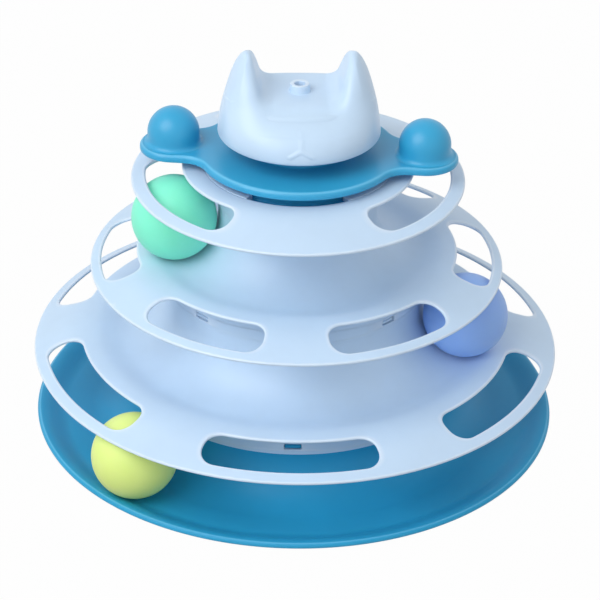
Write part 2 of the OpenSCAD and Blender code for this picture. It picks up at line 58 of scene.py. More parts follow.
# Steps along arcs, half a rolled edge, small edges, snap parts, the levels' lines, windows and slots
ARC_STEPS = 28
ROLL_STEPS = 8
EDGE_STEPS = 5
WEDGE_STEPS = 10
TRACK_STEPS = 88
TRACK_HOLLOW_STEPS = 52
FLANGE_FOOT_STEPS = 24
DECK_STEPS = 40
BASE_STEPS = 120
WINDOW_CORNER_STEPS = 20
WINDOW_ARC_STEPS = 60
WINDOW_RINGS = 10
WINDOW_SIDE_STEPS = 14
SLOT_CORNER_STEPS = 8
SLOT_RINGS = 5
SLOT_SIDE_STEPS = 6

# Steps in which a crossing is looked for
CROSSING_STEPS = 2000

# Points nearer than this are one, in metres
MERGE_WITHIN = 2e-6

# The most of a side that a rounded corner takes
CORNER_SHARE = 0.45

# Balls
BALL_R = 20.0
BALL_GAP = 0.3
BALL_AZ = {"lower_ball": -42.4, "middle_ball": 76.5, "upper_ball": -80.5}
BALL_TRACK = {"lower_ball": 107.5, "middle_ball": 82.3, "upper_ball": 58.2}
BALL_ROWS = 150
BALL_COLUMNS = 180

# The balls' weld line: its half width and depth, how closely rows crowd to it, its lean and its turn
SEAM_W = 0.35
SEAM_DEPTH = 0.04
SEAM_CROWDING = 3.2
SEAM_ROWS_SHARE = 0.5
SEAM_TILT = {"lower_ball": (62, 20), "middle_ball": (70, -35), "upper_ball": (58, 150)}

# Heights of the tracks and of the top deck's crown
LOWER_Z = 3.0
MIDDLE_Z = 46.1
UPPER_Z = 90.2
DECK_Z = 135.6

# Base
BASE_R = 125.0
BASE_WALL = 1.8
BASE_NECK_R = 78.2
BASE_FILLET_R = 20.5
BASE_HOLLOW_SHARE = 0.12
RIM_RISE = 4.4
RIM_SLOPE_W = 13.0
LIP_ROLL_R = 1.7
LIP_TURN = 80

# The base's lip: its finely made band, the painted highlight line on it as shares of that band, and the
# painted highlight on the rolled edge
LIP_BAND_W = 4.5
LIP_BAND_STEPS = 32
LIP_HIGHLIGHT_AT_SHARE = 0.6
LIP_HIGHLIGHT_W_SHARE = 0.14
LIP_EDGE_HIGHLIGHT = 0.2

# Tiers
WALL = 1.7
MIDDLE_NECK_R = 60.8
MIDDLE_FILLET_R = 21.5
UPPER_NECK_R = 37.2
UPPER_FILLET_R = 21.0
LOWER_SHOULDER_Z = LOWER_Z + 21.7
MIDDLE_SHOULDER_Z = MIDDLE_Z + 26
UPPER_SHOULDER_Z = UPPER_Z + 25.8
HOLLOW_SHARE = 0.15
NECK_FOOT_DROP = 0.5
CROWN_ROLL_R = 46.0
LOWER_CROWN = (96.5, MIDDLE_Z + 2.4)
MIDDLE_CROWN = (70.0, UPPER_Z + 1.8)
FLANGE_SLOPE = 20.8
UPPER_FLANGE_SLOPE = 15.6
RIM_R = {"lower": 125.3, "middle": 97.5, "upper": 77.7}
BAND_W = {"lower": 5.4, "middle": 4.7, "upper": 6.5}
TURN = {"lower": -0.5, "middle": 0.6, "upper": 2.0}
WINDOW_W = 17.0
WINDOW_CORNER_R = 7.6
WINDOW_SPAN = {"lower": 41.0, "middle": 40.0, "upper": 67.6}
WINDOW_SET_IN = 5.0
WINDOWS_ROUND = 6
UPPER_WINDOW_AZ = 64.3
UPPER_SECTOR = 122.5

# Joints between the levels
SPIGOT_H = 8.0
SKIRT_PROUD = 0.3
SPIGOT_GAP = 0.2
SLOT_W = 8.0
SLOT_H = 3.0
SLOT_UP = 2.7
SLOT_CORNER_R = 0.6
SLOT_EDGE_R = 0.25
SLOT_MARGIN = 1.6
SLOTS_ROUND = 4
LUG_GAP = 0.4
LUG_EDGE_R = 0.15
SHOULDER_EDGE = 0.15
EDGE_R = 0.5

# Turntable
WELL_R = 42.7
DECK_FLAT_W = 3.1
WELL_Z = DECK_Z - 5.6
WELL_EDGE_R = 2.5
WELL_UNDER_FROM = 1.5
DECK_INNER_R = 50.6
POST_R = 9.0
POST_WALL = 1.8
POST_WEB = 3.0
POST_FILLET_R = 1.0
SCREW_HOLE_R = 1.58
CATCH_FROM_AZ = 31.481
CATCH_TO_AZ = 74.0
CATCH_TOP = DECK_Z + 0.05
CATCH_NOSE_Z = WELL_Z + 3.2
CATCH_REACH = 3.4
CATCH_EDGE_R = 0.3

# Spinner
PLATE_Z = DECK_Z + 3.7
PLATE_TOP = PLATE_Z + 3.7
PLATE_SKIN = 1.9
PLATE_TOP_EDGE_R = 2.0
PLATE_FOOT_EDGE_R = 0.8
PLATE_FOOT_EASE = 0.2

# The painted highlight line on the plate's upper edge: its strength, the angle round the edge and how fast
# it fades
PLATE_HIGHLIGHT = 1.3
PLATE_HIGHLIGHT_AT = 30
PLATE_HIGHLIGHT_FADE = 25

# Disc, arms, knobs, drum, boss and bearing tube
DISC_R = 46.8
KNOB_AT = 58.3
ARM_R = 15.7
ARM_FILLET_R = 12.0
ARM_STEPS = 26
DISC_STEPS = 56
KNOB_R = 12.1
KNOB_SIDE_H = 5.0
KNOB_FILLET_R = 2.4
KNOB_SINK = 1.0
KNOB_FILLET_SINK = 0.02
KNOB_COLUMNS = 96
SPINNER_TURN = -4.2
DRUM_R = 37.9
DRUM_LIP = 2.6
DRUM_LIP_H = 1.6
DRUM_EDGE_R = 0.4
DRUM_Z = WELL_Z + 1.0
HUB_Z = WELL_Z + 1.3
BOSS_H = 7.6
BOSS_R = 21.0
BOSS_TOP_R = 17.0
BOSS_EDGE_R = 1.0
BOSS_FILLET_R = 1.5
BOSS_DRAFT = 10
TUBE_R = 13.1
BORE_R = POST_R + 0.08
BORE_EDGE_R = 0.4

# Cap: radius, heights, and how its oval sections narrow, lean and grow squarer upwards
CAP_R = 37.6
CAP_Z = PLATE_TOP + BOSS_H + 1.3
CAP_H = 39.6
CAP_WALL = 2.0
CAP_EDGE_R = 0.9
CAP_TURN = 2.2
SIDE_LEAN_SHARE = 0.257
SIDE_LEAN_POWER = 1.6
LEAN_SHARE = 0.06
LEAN_END_SHARE = 0.8
SADDLE_POWER = 2.7
EAR_BACK = 2.0

# The cap's half depth as shares of its radius, at shares of its height, and how that line is smoothed
DEPTH_AT_SHARES = np.array([0, 0.1, 0.2, 0.3, 0.4, 0.5, 0.6, 0.7, 0.8, 0.88, 0.94, 1.0])
DEPTH_SHARES = np.array([1, 0.98, 0.925, 0.83, 0.705, 0.59, 0.53, 0.485, 0.43, 0.345, 0.26, 0.12])
DEPTH_BLUR_SHARE = 0.1
DEPTH_BLUR_STEPS = 20
RIDGE_FALL = 1.5
RIDGE_SHARE = 1.12
LEAST_DEPTH_SHARE = 0.01

# The cap's front view: a level saddle between two ears
SADDLE_SHARE = 0.508
SADDLE_Z = CAP_Z + CAP_H * SADDLE_SHARE
SADDLE_HALF_W = 11.6
SADDLE_R = 7.0
EAR_TIP_R = 3.2
EAR_DROP = 0.2
EAR_TIP_AT = (25.0, CAP_Z + CAP_H - EAR_DROP - EAR_TIP_R)
EAR_FALL = 45.0

# The crease between the saddle and the oval sections: small behind, large in front
LIP_BLEND_BACK = 2.4
LIP_BLEND_FRONT = 16.0
LIP_SOFT_FROM = 12.0
LIP_SOFT_SPAN = 24.0
LIP_START_SHARE = 0.1
LEAST_SOFT_SHARE = 0.001
HALVINGS = 26

# The cap's grids: the plain wall up to a share of the height, then rows that run in to the socket
CAP_COLUMNS = 400
WALL_SHARE = 0.2
WALL_ROWS = 40
TOP_ROWS = 148
TOP_CROWDING = 1.8
HOLLOW_ROWS = 24

# Socket for a wand, between the ears
SOCKET_TUBE_R = 4.4
SOCKET_FOOT_R = 4.9
SOCKET_FOOT_EDGE_R = 0.5
SOCKET_TOP = SADDLE_Z + 3.7
SOCKET_R = 2.5
SOCKET_DEPTH = 10.0
SOCKET_EDGE_R = 0.3
# Height of the painted highlight band at the socket's top
SOCKET_HIGHLIGHT_H = 0.6

# Muzzle: a low relief on the cap's front, given by its lines' ends as (x, height)
MUZZLE_STEM = ((0.0, 165.2), (0.0, 158.9))
MUZZLE_ARM = ((0.0, 158.9), (5.2, 156.0))
MUZZLE_HALF_W = 1.2
MUZZLE_SOFT_W = 0.7
MUZZLE_FROM = 12.0
MUZZLE_RISE = 0.36

# The cup under the cap's roof that takes the post
CUP_Z = CAP_Z - 0.65
CUP_DEPTH = 5.0
CUP_WALL = 2.4
CUP_BORE_R = POST_R + 0.1
CUP_SEAT = 0.2

# Colours as they look in even light, red green blue from 0 to 255, but for the painted highlight and sheen
# colours noted below
TEAL = (40, 156, 202)
# The spinner's teal is the base's teal made lighter: painted sheen for the plate
SPINNER_TEAL_PAINTED_SHEEN = (50, 164, 210)
# Paler colour painted on the teal parts' edges as a highlight
TEAL_HIGHLIGHT = (104, 190, 228)
PALE_BLUE = (196, 220, 243)
# Paler colour painted on the pale blue parts' edges as a highlight
PALE_HIGHLIGHT = (214, 229, 246)
YELLOW_GREEN = (226, 248, 146)
PERIWINKLE = (150, 188, 252)
MINT = (138, 251, 213)
RUBBER = (44, 48, 54)
WASHER_WHITE = (226, 226, 220)
STEEL = (176, 178, 182)
STEEL_DARK_SHARE = 0.86

# Lamps: name, azimuth, height above the horizontal, distance and size in metres, power in watts
LAMPS = [
    ("key", -48, 44, 1.6, 1.3, 14.6),
    ("front fill", -10, 48, 2.2, 1.4, 1.5),
]

# The point that lamps shine at, in metres, and the strength of the surround's light
LAMP_AIM = (0, 0, 0.1)
WHITE = (1.0, 1.0, 1.0, 1.0)
WORLD_AT_HORIZON = 0.98
WORLD_OVERHEAD = 0.46

# Floor: its grey, the share of white over it where it is seen, and its reach each way in metres
FLOOR_GREY = (0.35, 0.36, 0.37, 1.0)
FLOOR_WHITE_SHARE = 0.985
FLOOR_REACH = 6.0

# Skin of the mouldings: cloudy patches per metre, scratches per metre along each axis and their turn in
# radians, and how much the painted highlight along edges tints the colour and smooths the surface
CLOUD_SCALE = 38.0
SCRATCH_SCALE = (60, 60, 900)
SCRATCH_TURN = (0.9, 0.5, 0.3)
HIGHLIGHT_TINT_SHARE = 0.75
HIGHLIGHT_SLEEK = -0.06
PLASTIC_IOR = 1.49
BUMP_STRENGTH = 0.35

# Turning marks on the screw, per metre
STEEL_RINGS = 900.0


def linear(rgb):
    """A colour from 0 to 255 as the linear values that a shader reads, with its alpha."""
    share = np.array(rgb) / 255
    value = np.where(share <= 0.04045, share / 12.92, ((share + 0.055) / 1.055) ** 2.4)
    return (*value, 1.0)


def arc(centre, radius, start, stop, steps=ARC_STEPS):
    """Points on an arc about centre, from angle start to angle stop."""
    angle = np.radians(np.linspace(start, stop, steps + 1))
    return np.stack([centre[0] + radius * np.cos(angle), centre[1] + radius * np.sin(angle)], axis=1)


def ease(start, stop):
    """Points on a smooth step between two points, level at both: the height follows half a cosine wave."""
    share = np.linspace(0, 1, ARC_STEPS + 1)[1:]
    radius = start[0] + (stop[0] - start[0]) * share
    height = start[1] + (stop[1] - start[1]) * (1 - np.cos(np.pi * share)) / 2
    return np.stack([radius, height], axis=1)


def smooth_step(share):
    """A share from 0 to 1 eased at both ends: three times its square less twice its cube."""
    return share**2 * (3 - 2 * share)


def rounded(corners, radius, steps=EDGE_STEPS):
    """A closed line of points with each of its corners rounded to a radius, by a quadratic curve."""
    corners = np.array(corners, float)
    before = np.roll(corners, 1, axis=0) - corners
    after = np.roll(corners, -1, axis=0) - corners
    size_before = np.linalg.norm(before, axis=1, keepdims=True)
    size_after = np.linalg.norm(after, axis=1, keepdims=True)
    start = corners + before * np.minimum(radius / size_before, CORNER_SHARE)
    stop = corners + after * np.minimum(radius / size_after, CORNER_SHARE)
    share = np.linspace(0, 1, steps + 1)[None, :, None]
    curve = (1 - share) ** 2 * start[:, None] + share**2 * stop[:, None]
    return (curve + 2 * share * (1 - share) * corners[:, None]).reshape(-1, 2)


def turned(azimuth, radius, height):
    """The point at an azimuth: x is the radius times its sine, y minus the radius times its cosine."""
    angle = np.radians(azimuth)
    return np.stack(np.broadcast_arrays(radius * np.sin(angle), -radius * np.cos(angle), height), axis=-1)


def new_object(name, data):
    """A new object in the scene."""
    made = bpy.data.objects.new(name, data)
    bpy.context.scene.collection.objects.link(made)
    return made


class Shell:
    """Grids of points in millimetres, joined into one mesh, each point with its share of painted highlight.
    """

    def __init__(self):
        self.points = []
        self.faces = []
        self.rims = []
        self.count = 0

    def grid(self, points, rim=0.0, close_rows=False):
        """Adds a grid of points, closed round its columns, with a face between each two rows."""
        rows, columns = points.shape[:2]
        index = self.count + np.arange(rows * columns).reshape(rows, columns)
        if close_rows:
            index = np.concatenate([index, index[:1]])
        index = np.concatenate([index, index[:, :1]], axis=1)
        quads = np.stack([index[:-1, :-1], index[1:, :-1], index[1:, 1:], index[:-1, 1:]], axis=-1)
        self.points.append(points.reshape(-1, 3))
        self.faces.append(quads.reshape(-1, 4))
        # Each point's share of painted highlight: a paler tint that stands in for light caught by an edge
        self.rims.append(np.broadcast_to(rim, (rows, columns)).reshape(-1).astype(np.float32))
        self.count += rows * columns

    def lathe(self, profile, turn=0.0, rim=0.0, closed=False):
        """Turns a line of (radius, height) points about the Z axis, one column to each azimuth."""
        profile = np.asarray(profile, float)
        azimuth = turn + np.arange(AROUND) * 360 / AROUND
        rim = np.broadcast_to(np.asarray(rim, float).reshape(-1, 1), (len(profile), 1))
        self.grid(turned(azimuth[None, :], profile[:, :1], profile[:, 1:]), rim, closed)

    def wedge(self, profile, azimuths):
        """Carries a closed line of (radius, height) points from azimuth to azimuth and closes both ends."""
        profile = np.asarray(profile, float)
        azimuth = np.linspace(azimuths[0], azimuths[1], WEDGE_STEPS + 1)
        self.grid(turned(azimuth[:, None], profile[None, :, 0], profile[None, :, 1]))
        for end in azimuths:
            ring = turned(end, profile[:, 0], profile[:, 1])
            middle = np.broadcast_to(ring.mean(axis=0), ring.shape)
            self.grid(np.stack([ring, middle]))

    def turn(self, degrees):
        """Turns all its points about the Z axis, anticlockwise seen from above."""
        cosine, sine = math.cos(math.radians(degrees)), math.sin(math.radians(degrees))
        turning = np.array([[cosine, sine, 0], [-sine, cosine, 0], [0, 0, 1]])
        self.points = [points @ turning for points in self.points]

    def piece(self, name, body, material, nodes, sharp=38):
        """Makes the mesh: doubles merged, faces turned outwards, smooth but for edges past an angle."""
        points = np.concatenate(self.points) * MM
        faces = np.concatenate(self.faces)
        mesh = bpy.data.meshes.new(name)
        mesh.vertices.add(len(points))
        mesh.vertices.foreach_set("co", points.astype(np.float32).ravel())
        mesh.loops.add(faces.size)
        mesh.loops.foreach_set("vertex_index", faces.astype(np.int32).ravel())
        mesh.polygons.add(len(faces))
        mesh.polygons.foreach_set("loop_start", np.arange(0, faces.size, 4, dtype=np.int32))
        # The share of painted highlight goes on the mesh as an attribute that the skin shader reads
        rim = mesh.attributes.new("rim", "FLOAT", "POINT")
        rim.data.foreach_set("value", np.concatenate(self.rims))
        mesh.update(calc_edges=True)
        shape = bmesh.new()
        shape.from_mesh(mesh)
        bmesh.ops.remove_doubles(shape, verts=shape.verts, dist=MERGE_WITHIN)
        bmesh.ops.dissolve_degenerate(shape, dist=MERGE_WITHIN / 20, edges=shape.edges)
        bmesh.ops.recalc_face_normals(shape, faces=shape.faces)
        shape.to_mesh(mesh)
        shape.free()
        mesh.polygons.foreach_set("use_smooth", np.ones(len(mesh.polygons), bool))
        mesh.set_sharp_from_angle(angle=math.radians(sharp))
        mesh.materials.append(material)
        made = new_object(name, mesh)
        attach(made, body)
        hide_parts(*nodes)
        return made


class Sheet:
    """A sheet of even wall under a line of (radius, height) points.

    A place on it is a length s along the line and a depth h below it: the line's point at s, moved by h
    along the line's right-hand normal."""

    def __init__(self, line):
        self.line = np.asarray(line, float)
        self.s = np.concatenate([[0], np.cumsum(np.hypot(*np.diff(self.line, axis=0).T))])
        along = np.gradient(self.line, self.s, axis=0)
        along /= np.linalg.norm(along, axis=1, keepdims=True)
        self.along = along
        self.normal = np.stack([along[:, 1], -along[:, 0]], axis=1)

    def at(self, s, h=0.0):
        """Radius and height at length s and depth h."""
        radius = np.interp(s, self.s, self.line[:, 0]) + h * np.interp(s, self.s, self.normal[:, 0])
        height = np.interp(s, self.s, self.line[:, 1]) + h * np.interp(s, self.s, self.normal[:, 1])
        return radius, height

    def length_at(self, radius):
        """The length at which the outward part of the line reaches a radius."""
        return np.interp(radius, self.line[:, 0], self.s)

    def between(self, start, stop, h, steps):
        """Points along the sheet at one depth."""
        s = np.linspace(start, stop, steps + 1)
        return np.stack(self.at(s, h), axis=1)

    def crossing(self, radius, h, low, high):
        """The length, between low and high, at which depth h has a radius."""
        s = np.linspace(low, high, CROSSING_STEPS)
        return s[np.argmin(np.abs(self.at(s, h)[0] - radius))]

    def roll(self, wall):
        """The half round at the sheet's outer end: a half circle from the upper face to the lower one."""
        angle = np.radians(np.linspace(0, 180, 2 * ROLL_STEPS + 1))[:, None]
        across, out = self.normal[-1] * wall / 2, self.along[-1] * wall / 2
        return self.line[-1] + across - across * np.cos(angle) + out * np.sin(angle)


def flange(crown, slope, rim_r):
    """A flange from its crown to its lip: an arc that falls away, then a straight fall at a slope."""
    fall = arc((crown[0], crown[1] - CROWN_ROLL_R), CROWN_ROLL_R, 90, 90 - slope)
    width = rim_r - WALL / 2 + math.sin(math.radians(slope)) * WALL / 2 - fall[-1, 0]
    share = np.linspace(0, 1, 9)[1:, None]
    straight = fall[-1] + share * width * np.array([[1, -math.tan(math.radians(slope))]])
    return np.concatenate([fall, straight])


def resampled(zones, margins_zones, counts):
    """Even steps along each zone of an outline, found on one outline and taken over to the others."""
    taken = []
    for zone in margins_zones:
        parts = []
        for guide, line, count in zip(zones, zone, counts):
            length = np.concatenate([[0], np.cumsum(np.hypot(*np.diff(guide, axis=0).T))])
            at = np.linspace(0, length[-1], count + 1)[:-1]
            parts.append(np.stack([np.interp(at, length, line[:, axis]) for axis in (0, 1)], axis=1))
        taken.append(np.concatenate(parts))
    return taken


def mirrored_zones(low_corner, high_corner, near=(), far=()):
    """Four stretches of an outline that is the same left and right: its near, right, far and left side.

    Each runs from the middle of one round corner to the middle of the next. Given are the two corners on
    the right, and the points between corners on the near side and on the far one."""
    low_left, high_left = low_corner * (-1, 1), high_corner * (-1, 1)
    half = len(low_corner) // 2
    near, far = np.reshape(near, (-1, 2)), np.reshape(far, (-1, 2))
    return [
        np.concatenate([low_left[half::-1], near, low_corner[:half + 1]]),
        np.concatenate([low_corner[half:], high_corner[:half + 1]]),
        np.concatenate([high_corner[half:], far, high_left[:half - 1:-1]]),
        np.concatenate([high_left[half::-1], low_left[:half - 1:-1]]),
    ]


def window_zones(inner_r, outer_r, span, corner, margin):
    """A window's outline in four stretches, moved out by a margin.

    The window lies between two radii and two radial sides, with round corners. Points are (x, y) with y
    away from the tower's axis."""
    half = span / 2
    inner_at, outer_at = inner_r + corner, outer_r - corner
    inner_az = half - math.degrees(math.asin(corner / inner_at))
    outer_az = half - math.degrees(math.asin(corner / outer_at))

    def corner_arc(at, az, start, stop):
        centre = (at * math.sin(math.radians(az)), at * math.cos(math.radians(az)))
        return arc(centre, corner + margin, start, stop, WINDOW_CORNER_STEPS)

    return mirrored_zones(
        corner_arc(inner_at, inner_az, -90 - inner_az, -half),
        corner_arc(outer_at, outer_az, -half, 90 - outer_az),
        arc((0, 0), inner_r - margin, 90 + inner_az, 90 - inner_az, WINDOW_ARC_STEPS),
        arc((0, 0), outer_r + margin, 90 - outer_az, 90 + outer_az, WINDOW_ARC_STEPS),
    )


def slot_zones(margin):
    """A snap slot's outline in four stretches, a rectangle with round corners, moved out by a margin."""
    x, y = SLOT_W / 2 - SLOT_CORNER_R, SLOT_H / 2 - SLOT_CORNER_R
    radius = SLOT_CORNER_R + margin
    return mirrored_zones(
        arc((x, -y), radius, -90, 0, SLOT_CORNER_STEPS), arc((x, y), radius, 0, 90, SLOT_CORNER_STEPS),
    )


def pierced(shell, place, sectors, reach, edge, zones_at, to_places, side_steps, rings):
    """A band of a turned sheet with a hole in each sector, its two faces joined by the hole's edge.

    A sector is its first and last azimuth, its hole's middle and its number of steps. Rows of each face run
    evenly from the hole's outline to the sector's border. The edge is a list of margins and depths round
    the hole, from the upper face to the lower one."""
    low, high = reach
    share = np.linspace(0, 1, rings + 1)[:, None, None]
    for start, stop, middle, steps in sectors:
        counts = (steps, side_steps, steps, side_steps)
        corners = np.array([(start, low), (stop, low), (stop, high), (start, high), (start, low)], float)
        border = np.concatenate([
            a + (b - a) * np.linspace(0, 1, count + 1)[:-1, None]
            for a, b, count in zip(corners[:-1], corners[1:], counts)
        ])
        rows = resampled(zones_at(edge[0][0]), [zones_at(margin) for margin, _ in edge], counts)
        rows = np.stack([to_places(row, middle) for row in rows])
        depth = np.array([h for _, h in edge])[:, None]
        # The hole's edge carries the full painted highlight, which fades out over the first ring of each
        # face
        shell.grid(place(rows[..., 0], rows[..., 1], depth), 1.0)
        for row, h in ((rows[0], edge[0][1]), (rows[-1], edge[-1][1])):
            face = (1 - share) * row[None] + share * border[None]
            rim = np.clip(1 - share[..., 0] * rings, 0, 1)
            shell.grid(place(face[..., 0], face[..., 1], h), rim)


def half_round_edge(wall):
    """Margins and depths of a fully rounded edge: half a circle across the wall."""
    angle = np.radians(np.linspace(0, 180, 2 * ROLL_STEPS + 1))
    return [(wall / 2 * (1 - math.sin(a)), wall / 2 * (1 - math.cos(a))) for a in angle]


def eased_edge(wall, radius):
    """Margins and depths of a straight edge across the wall, with a small radius at each face."""
    angle = np.radians(np.linspace(0, 90, 4))
    top = [(radius * (1 - math.sin(a)), radius * (1 - math.cos(a))) for a in angle]
    return top + [(margin, wall - h) for margin, h in top[::-1]]


def even_sectors(number, first, shift=0.0):
    """Even sectors all round, with a hole in the middle of each, moved back by a shift."""
    middles = first + 360 / number * np.arange(number)
    return [(az - 180 / number, az + 180 / number, az - shift, AROUND // number) for az in middles]


def skirt_slots(shell, skirt_r, shoulder_z, turn, slot_azimuth):
    """The stretch of a skirt that holds its snap slots, both faces pierced. Returns its two heights."""
    middle_z = shoulder_z + SLOT_UP + SLOT_H / 2
    reach = (middle_z - SLOT_H / 2 - SLOT_MARGIN, middle_z + SLOT_H / 2 + SLOT_MARGIN)
    sectors = even_sectors(SLOTS_ROUND, slot_azimuth, turn)

    def place(azimuth, height, depth):
        return turned(azimuth + turn, skirt_r - depth, height)

    def to_places(points, middle):
        return np.stack([middle + np.degrees(points[:, 0] / skirt_r), middle_z + points[:, 1]], axis=1)

    pierced(shell, place, sectors, reach, eased_edge(WALL, SLOT_EDGE_R), slot_zones, to_places,
            SLOT_SIDE_STEPS, SLOT_RINGS)
    return reach


def flange_windows(shell, sheet, level, sectors, reach):
    """The windowed stretch of a flange with its lip: both faces, the windows' round edges and the lip's."""
    outer_r = RIM_R[level] - BAND_W[level]
    turn = TURN[level]

    def place(azimuth, s, depth):
        radius, height = sheet.at(s, depth)
        return turned(azimuth + turn, radius, height)

    def to_places(points, middle):
        azimuth = middle + np.degrees(np.arctan2(points[:, 0], points[:, 1]))
        return np.stack([azimuth, sheet.length_at(np.hypot(points[:, 0], points[:, 1]))], axis=1)

    def zones_at(margin):
        return window_zones(outer_r - WINDOW_W, outer_r, WINDOW_SPAN[level], WINDOW_CORNER_R, margin)

    pierced(shell, place, sectors, reach, half_round_edge(WALL), zones_at, to_places,
            WINDOW_SIDE_STEPS, WINDOW_RINGS)
    # The lip's rolled edge carries the full painted highlight
    shell.lathe(sheet.roll(WALL), turn, 1.0)


def snap_lugs(shell, neck_r, shoulder_z, first_azimuth):
    """Snap lugs on a spigot, from one azimuth on: each a ramp that ends in a flat catch face."""
    spigot_r = neck_r + SKIRT_PROUD - WALL - SPIGOT_GAP
    low = shoulder_z + SLOT_UP + LUG_GAP
    high = shoulder_z + SLOT_UP + SLOT_H - LUG_GAP
    proud = spigot_r + SPIGOT_GAP + WALL / 2
    inside = spigot_r - WALL / 2
    ramp = [(inside, low), (proud, low), (proud, (low + high) / 2), (inside, high)]
    profile = rounded(ramp, LUG_EDGE_R, 3)
    half = math.degrees((SLOT_W / 2 - LUG_GAP) / spigot_r)
    for azimuth in first_azimuth + 360 / SLOTS_ROUND * np.arange(SLOTS_ROUND):
        shell.wedge(profile, (azimuth - half, azimuth + half))


def spigot(neck_r, shoulder_z, wall):
    """The line from a neck's shoulder over its spigot and down inside it."""
    outer = neck_r + SKIRT_PROUD - WALL - SPIGOT_GAP
    inner = outer - wall
    top = shoulder_z + SPIGOT_H
    return np.concatenate([
        [(neck_r - SHOULDER_EDGE, shoulder_z), (outer, shoulder_z)],
        arc((outer - EDGE_R, top - EDGE_R), EDGE_R, 0, 90, EDGE_STEPS),
        arc((inner + EDGE_R, top - EDGE_R), EDGE_R, 90, 180, EDGE_STEPS),
        [(inner, shoulder_z - wall)],
    ])


def skirt_foot(skirt_r, shoulder_z, reach):
    """The line round a skirt's lower edge, from its outer face to its inner one."""
    return np.concatenate([
        [(skirt_r, reach[0])],
        arc((skirt_r - EDGE_R / 2, shoulder_z + EDGE_R / 2), EDGE_R / 2, 0, -90, 4),
        arc((skirt_r - WALL + EDGE_R / 2, shoulder_z + EDGE_R / 2), EDGE_R / 2, -90, -180, 4),
        [(skirt_r - WALL, reach[0])],
    ])


def track_tier(name, level, skirt, neck, crown, first_window, slot_azimuth, lug_azimuth):
    """A tier that carries a track: skirt, track, windowed flange, neck and spigot, as one closed shell."""
    skirt_r, skirt_z = skirt
    neck_r, track_z, fillet_r, shoulder_z = neck
    sheet = Sheet(np.concatenate([
        [(neck_r, shoulder_z - SHOULDER_EDGE)],
        arc((neck_r + fillet_r, track_z + fillet_r), fillet_r, 180, 270),
        ease((neck_r + fillet_r, track_z), crown),
        flange(crown, FLANGE_SLOPE, RIM_R[level])[1:],
    ]))
    turn = TURN[level]
    shell = Shell()
    inner_edge = sheet.length_at(RIM_R[level] - BAND_W[level] - WINDOW_W - WINDOW_SET_IN)
    sectors = even_sectors(WINDOWS_ROUND, first_window)
    flange_windows(shell, sheet, level, sectors, (inner_edge, sheet.s[-1]))
    slots = skirt_slots(shell, skirt_r, skirt_z, turn, slot_azimuth)
    inside = sheet.crossing(skirt_r - WALL, WALL, sheet.s[1], inner_edge)
    outside = sheet.crossing(skirt_r, WALL, sheet.s[1], inner_edge)
    shell.lathe(np.concatenate([
        sheet.between(inner_edge, 0.0, 0.0, TRACK_STEPS),
        spigot(neck_r, shoulder_z, WALL),
        [(neck_r - WALL, shoulder_z - WALL - NECK_FOOT_DROP)],
        sheet.between(fillet_r * HOLLOW_SHARE, inside, WALL, TRACK_HOLLOW_STEPS),
        [(skirt_r - WALL, slots[1])],
    ]), turn)
    shell.lathe(skirt_foot(skirt_r, skirt_z, slots), turn)
    shell.lathe(np.concatenate([
        [(skirt_r, slots[1])],
        sheet.between(outside, inner_edge, WALL, FLANGE_FOOT_STEPS),
    ]), turn)
    snap_lugs(shell, neck_r, shoulder_z, lug_azimuth)
    return shell.piece(name, "tower", TIER_PLASTIC, [name])


def top_tier():
    """The upper tier: windowed deck, well, catches, hollow post and skirt, as one closed shell."""
    level = "upper"
    edge_at = (WELL_R + WELL_EDGE_R, DECK_Z - WELL_EDGE_R)
    crown = (edge_at[0] + DECK_FLAT_W, DECK_Z)
    sheet = Sheet(np.concatenate([
        [(WELL_R, WELL_Z + EDGE_R)],
        arc(edge_at, WELL_EDGE_R, 180, 90, ARC_STEPS // 2),
        np.linspace((edge_at[0], DECK_Z), crown, 5)[1:-1],
        flange(crown, UPPER_FLANGE_SLOPE, RIM_R[level]),
    ]))
    turn = TURN[level]
    shell = Shell()
    inner_edge = sheet.length_at(DECK_INNER_R)
    sectors = [
        (start, stop, middle, round(AROUND * (stop - start) / 360)) for start, stop, middle in (
            (-UPPER_SECTOR, 0, -UPPER_WINDOW_AZ), (0, UPPER_SECTOR, UPPER_WINDOW_AZ),
            (UPPER_SECTOR, 360 - UPPER_SECTOR, 180))
    ]
    flange_windows(shell, sheet, level, sectors, (inner_edge, sheet.s[-1]))
    skirt_r = UPPER_NECK_R + SKIRT_PROUD
    slots = skirt_slots(shell, skirt_r, UPPER_SHOULDER_Z, turn, 0)
    post_top = CUP_Z + CUP_DEPTH
    bore = POST_R - POST_WALL
    shell.lathe(np.concatenate([
        sheet.between(inner_edge, 0.0, 0.0, DECK_STEPS),
        arc((WELL_R - EDGE_R, WELL_Z + EDGE_R), EDGE_R, 0, -90, 4),
        arc((POST_R + POST_FILLET_R, WELL_Z + POST_FILLET_R), POST_FILLET_R, -90, -180, 6),
        arc((POST_R - EDGE_R, post_top - EDGE_R), EDGE_R, 0, 90, EDGE_STEPS),
        [(SCREW_HOLE_R, post_top), (SCREW_HOLE_R, post_top - POST_WEB), (bore, post_top - POST_WEB)],
        [(bore, WELL_Z - WALL), (skirt_r - WALL, WELL_Z - WALL), (skirt_r - WALL, slots[1])],
    ]), turn)
    shell.lathe(skirt_foot(skirt_r, UPPER_SHOULDER_Z, slots), turn)
    shell.lathe(np.concatenate([
        [(skirt_r, slots[1]), (skirt_r, WELL_Z - WALL)],
        arc((WELL_R + WALL - EDGE_R, WELL_Z - WALL + EDGE_R), EDGE_R, -90, 0, 4),
        sheet.between(WELL_UNDER_FROM, inner_edge, WALL, DECK_STEPS),
    ]), turn)
    catches(shell)
    return shell.piece("upper_tier", "tower", TIER_PLASTIC, ["upper_tier"])


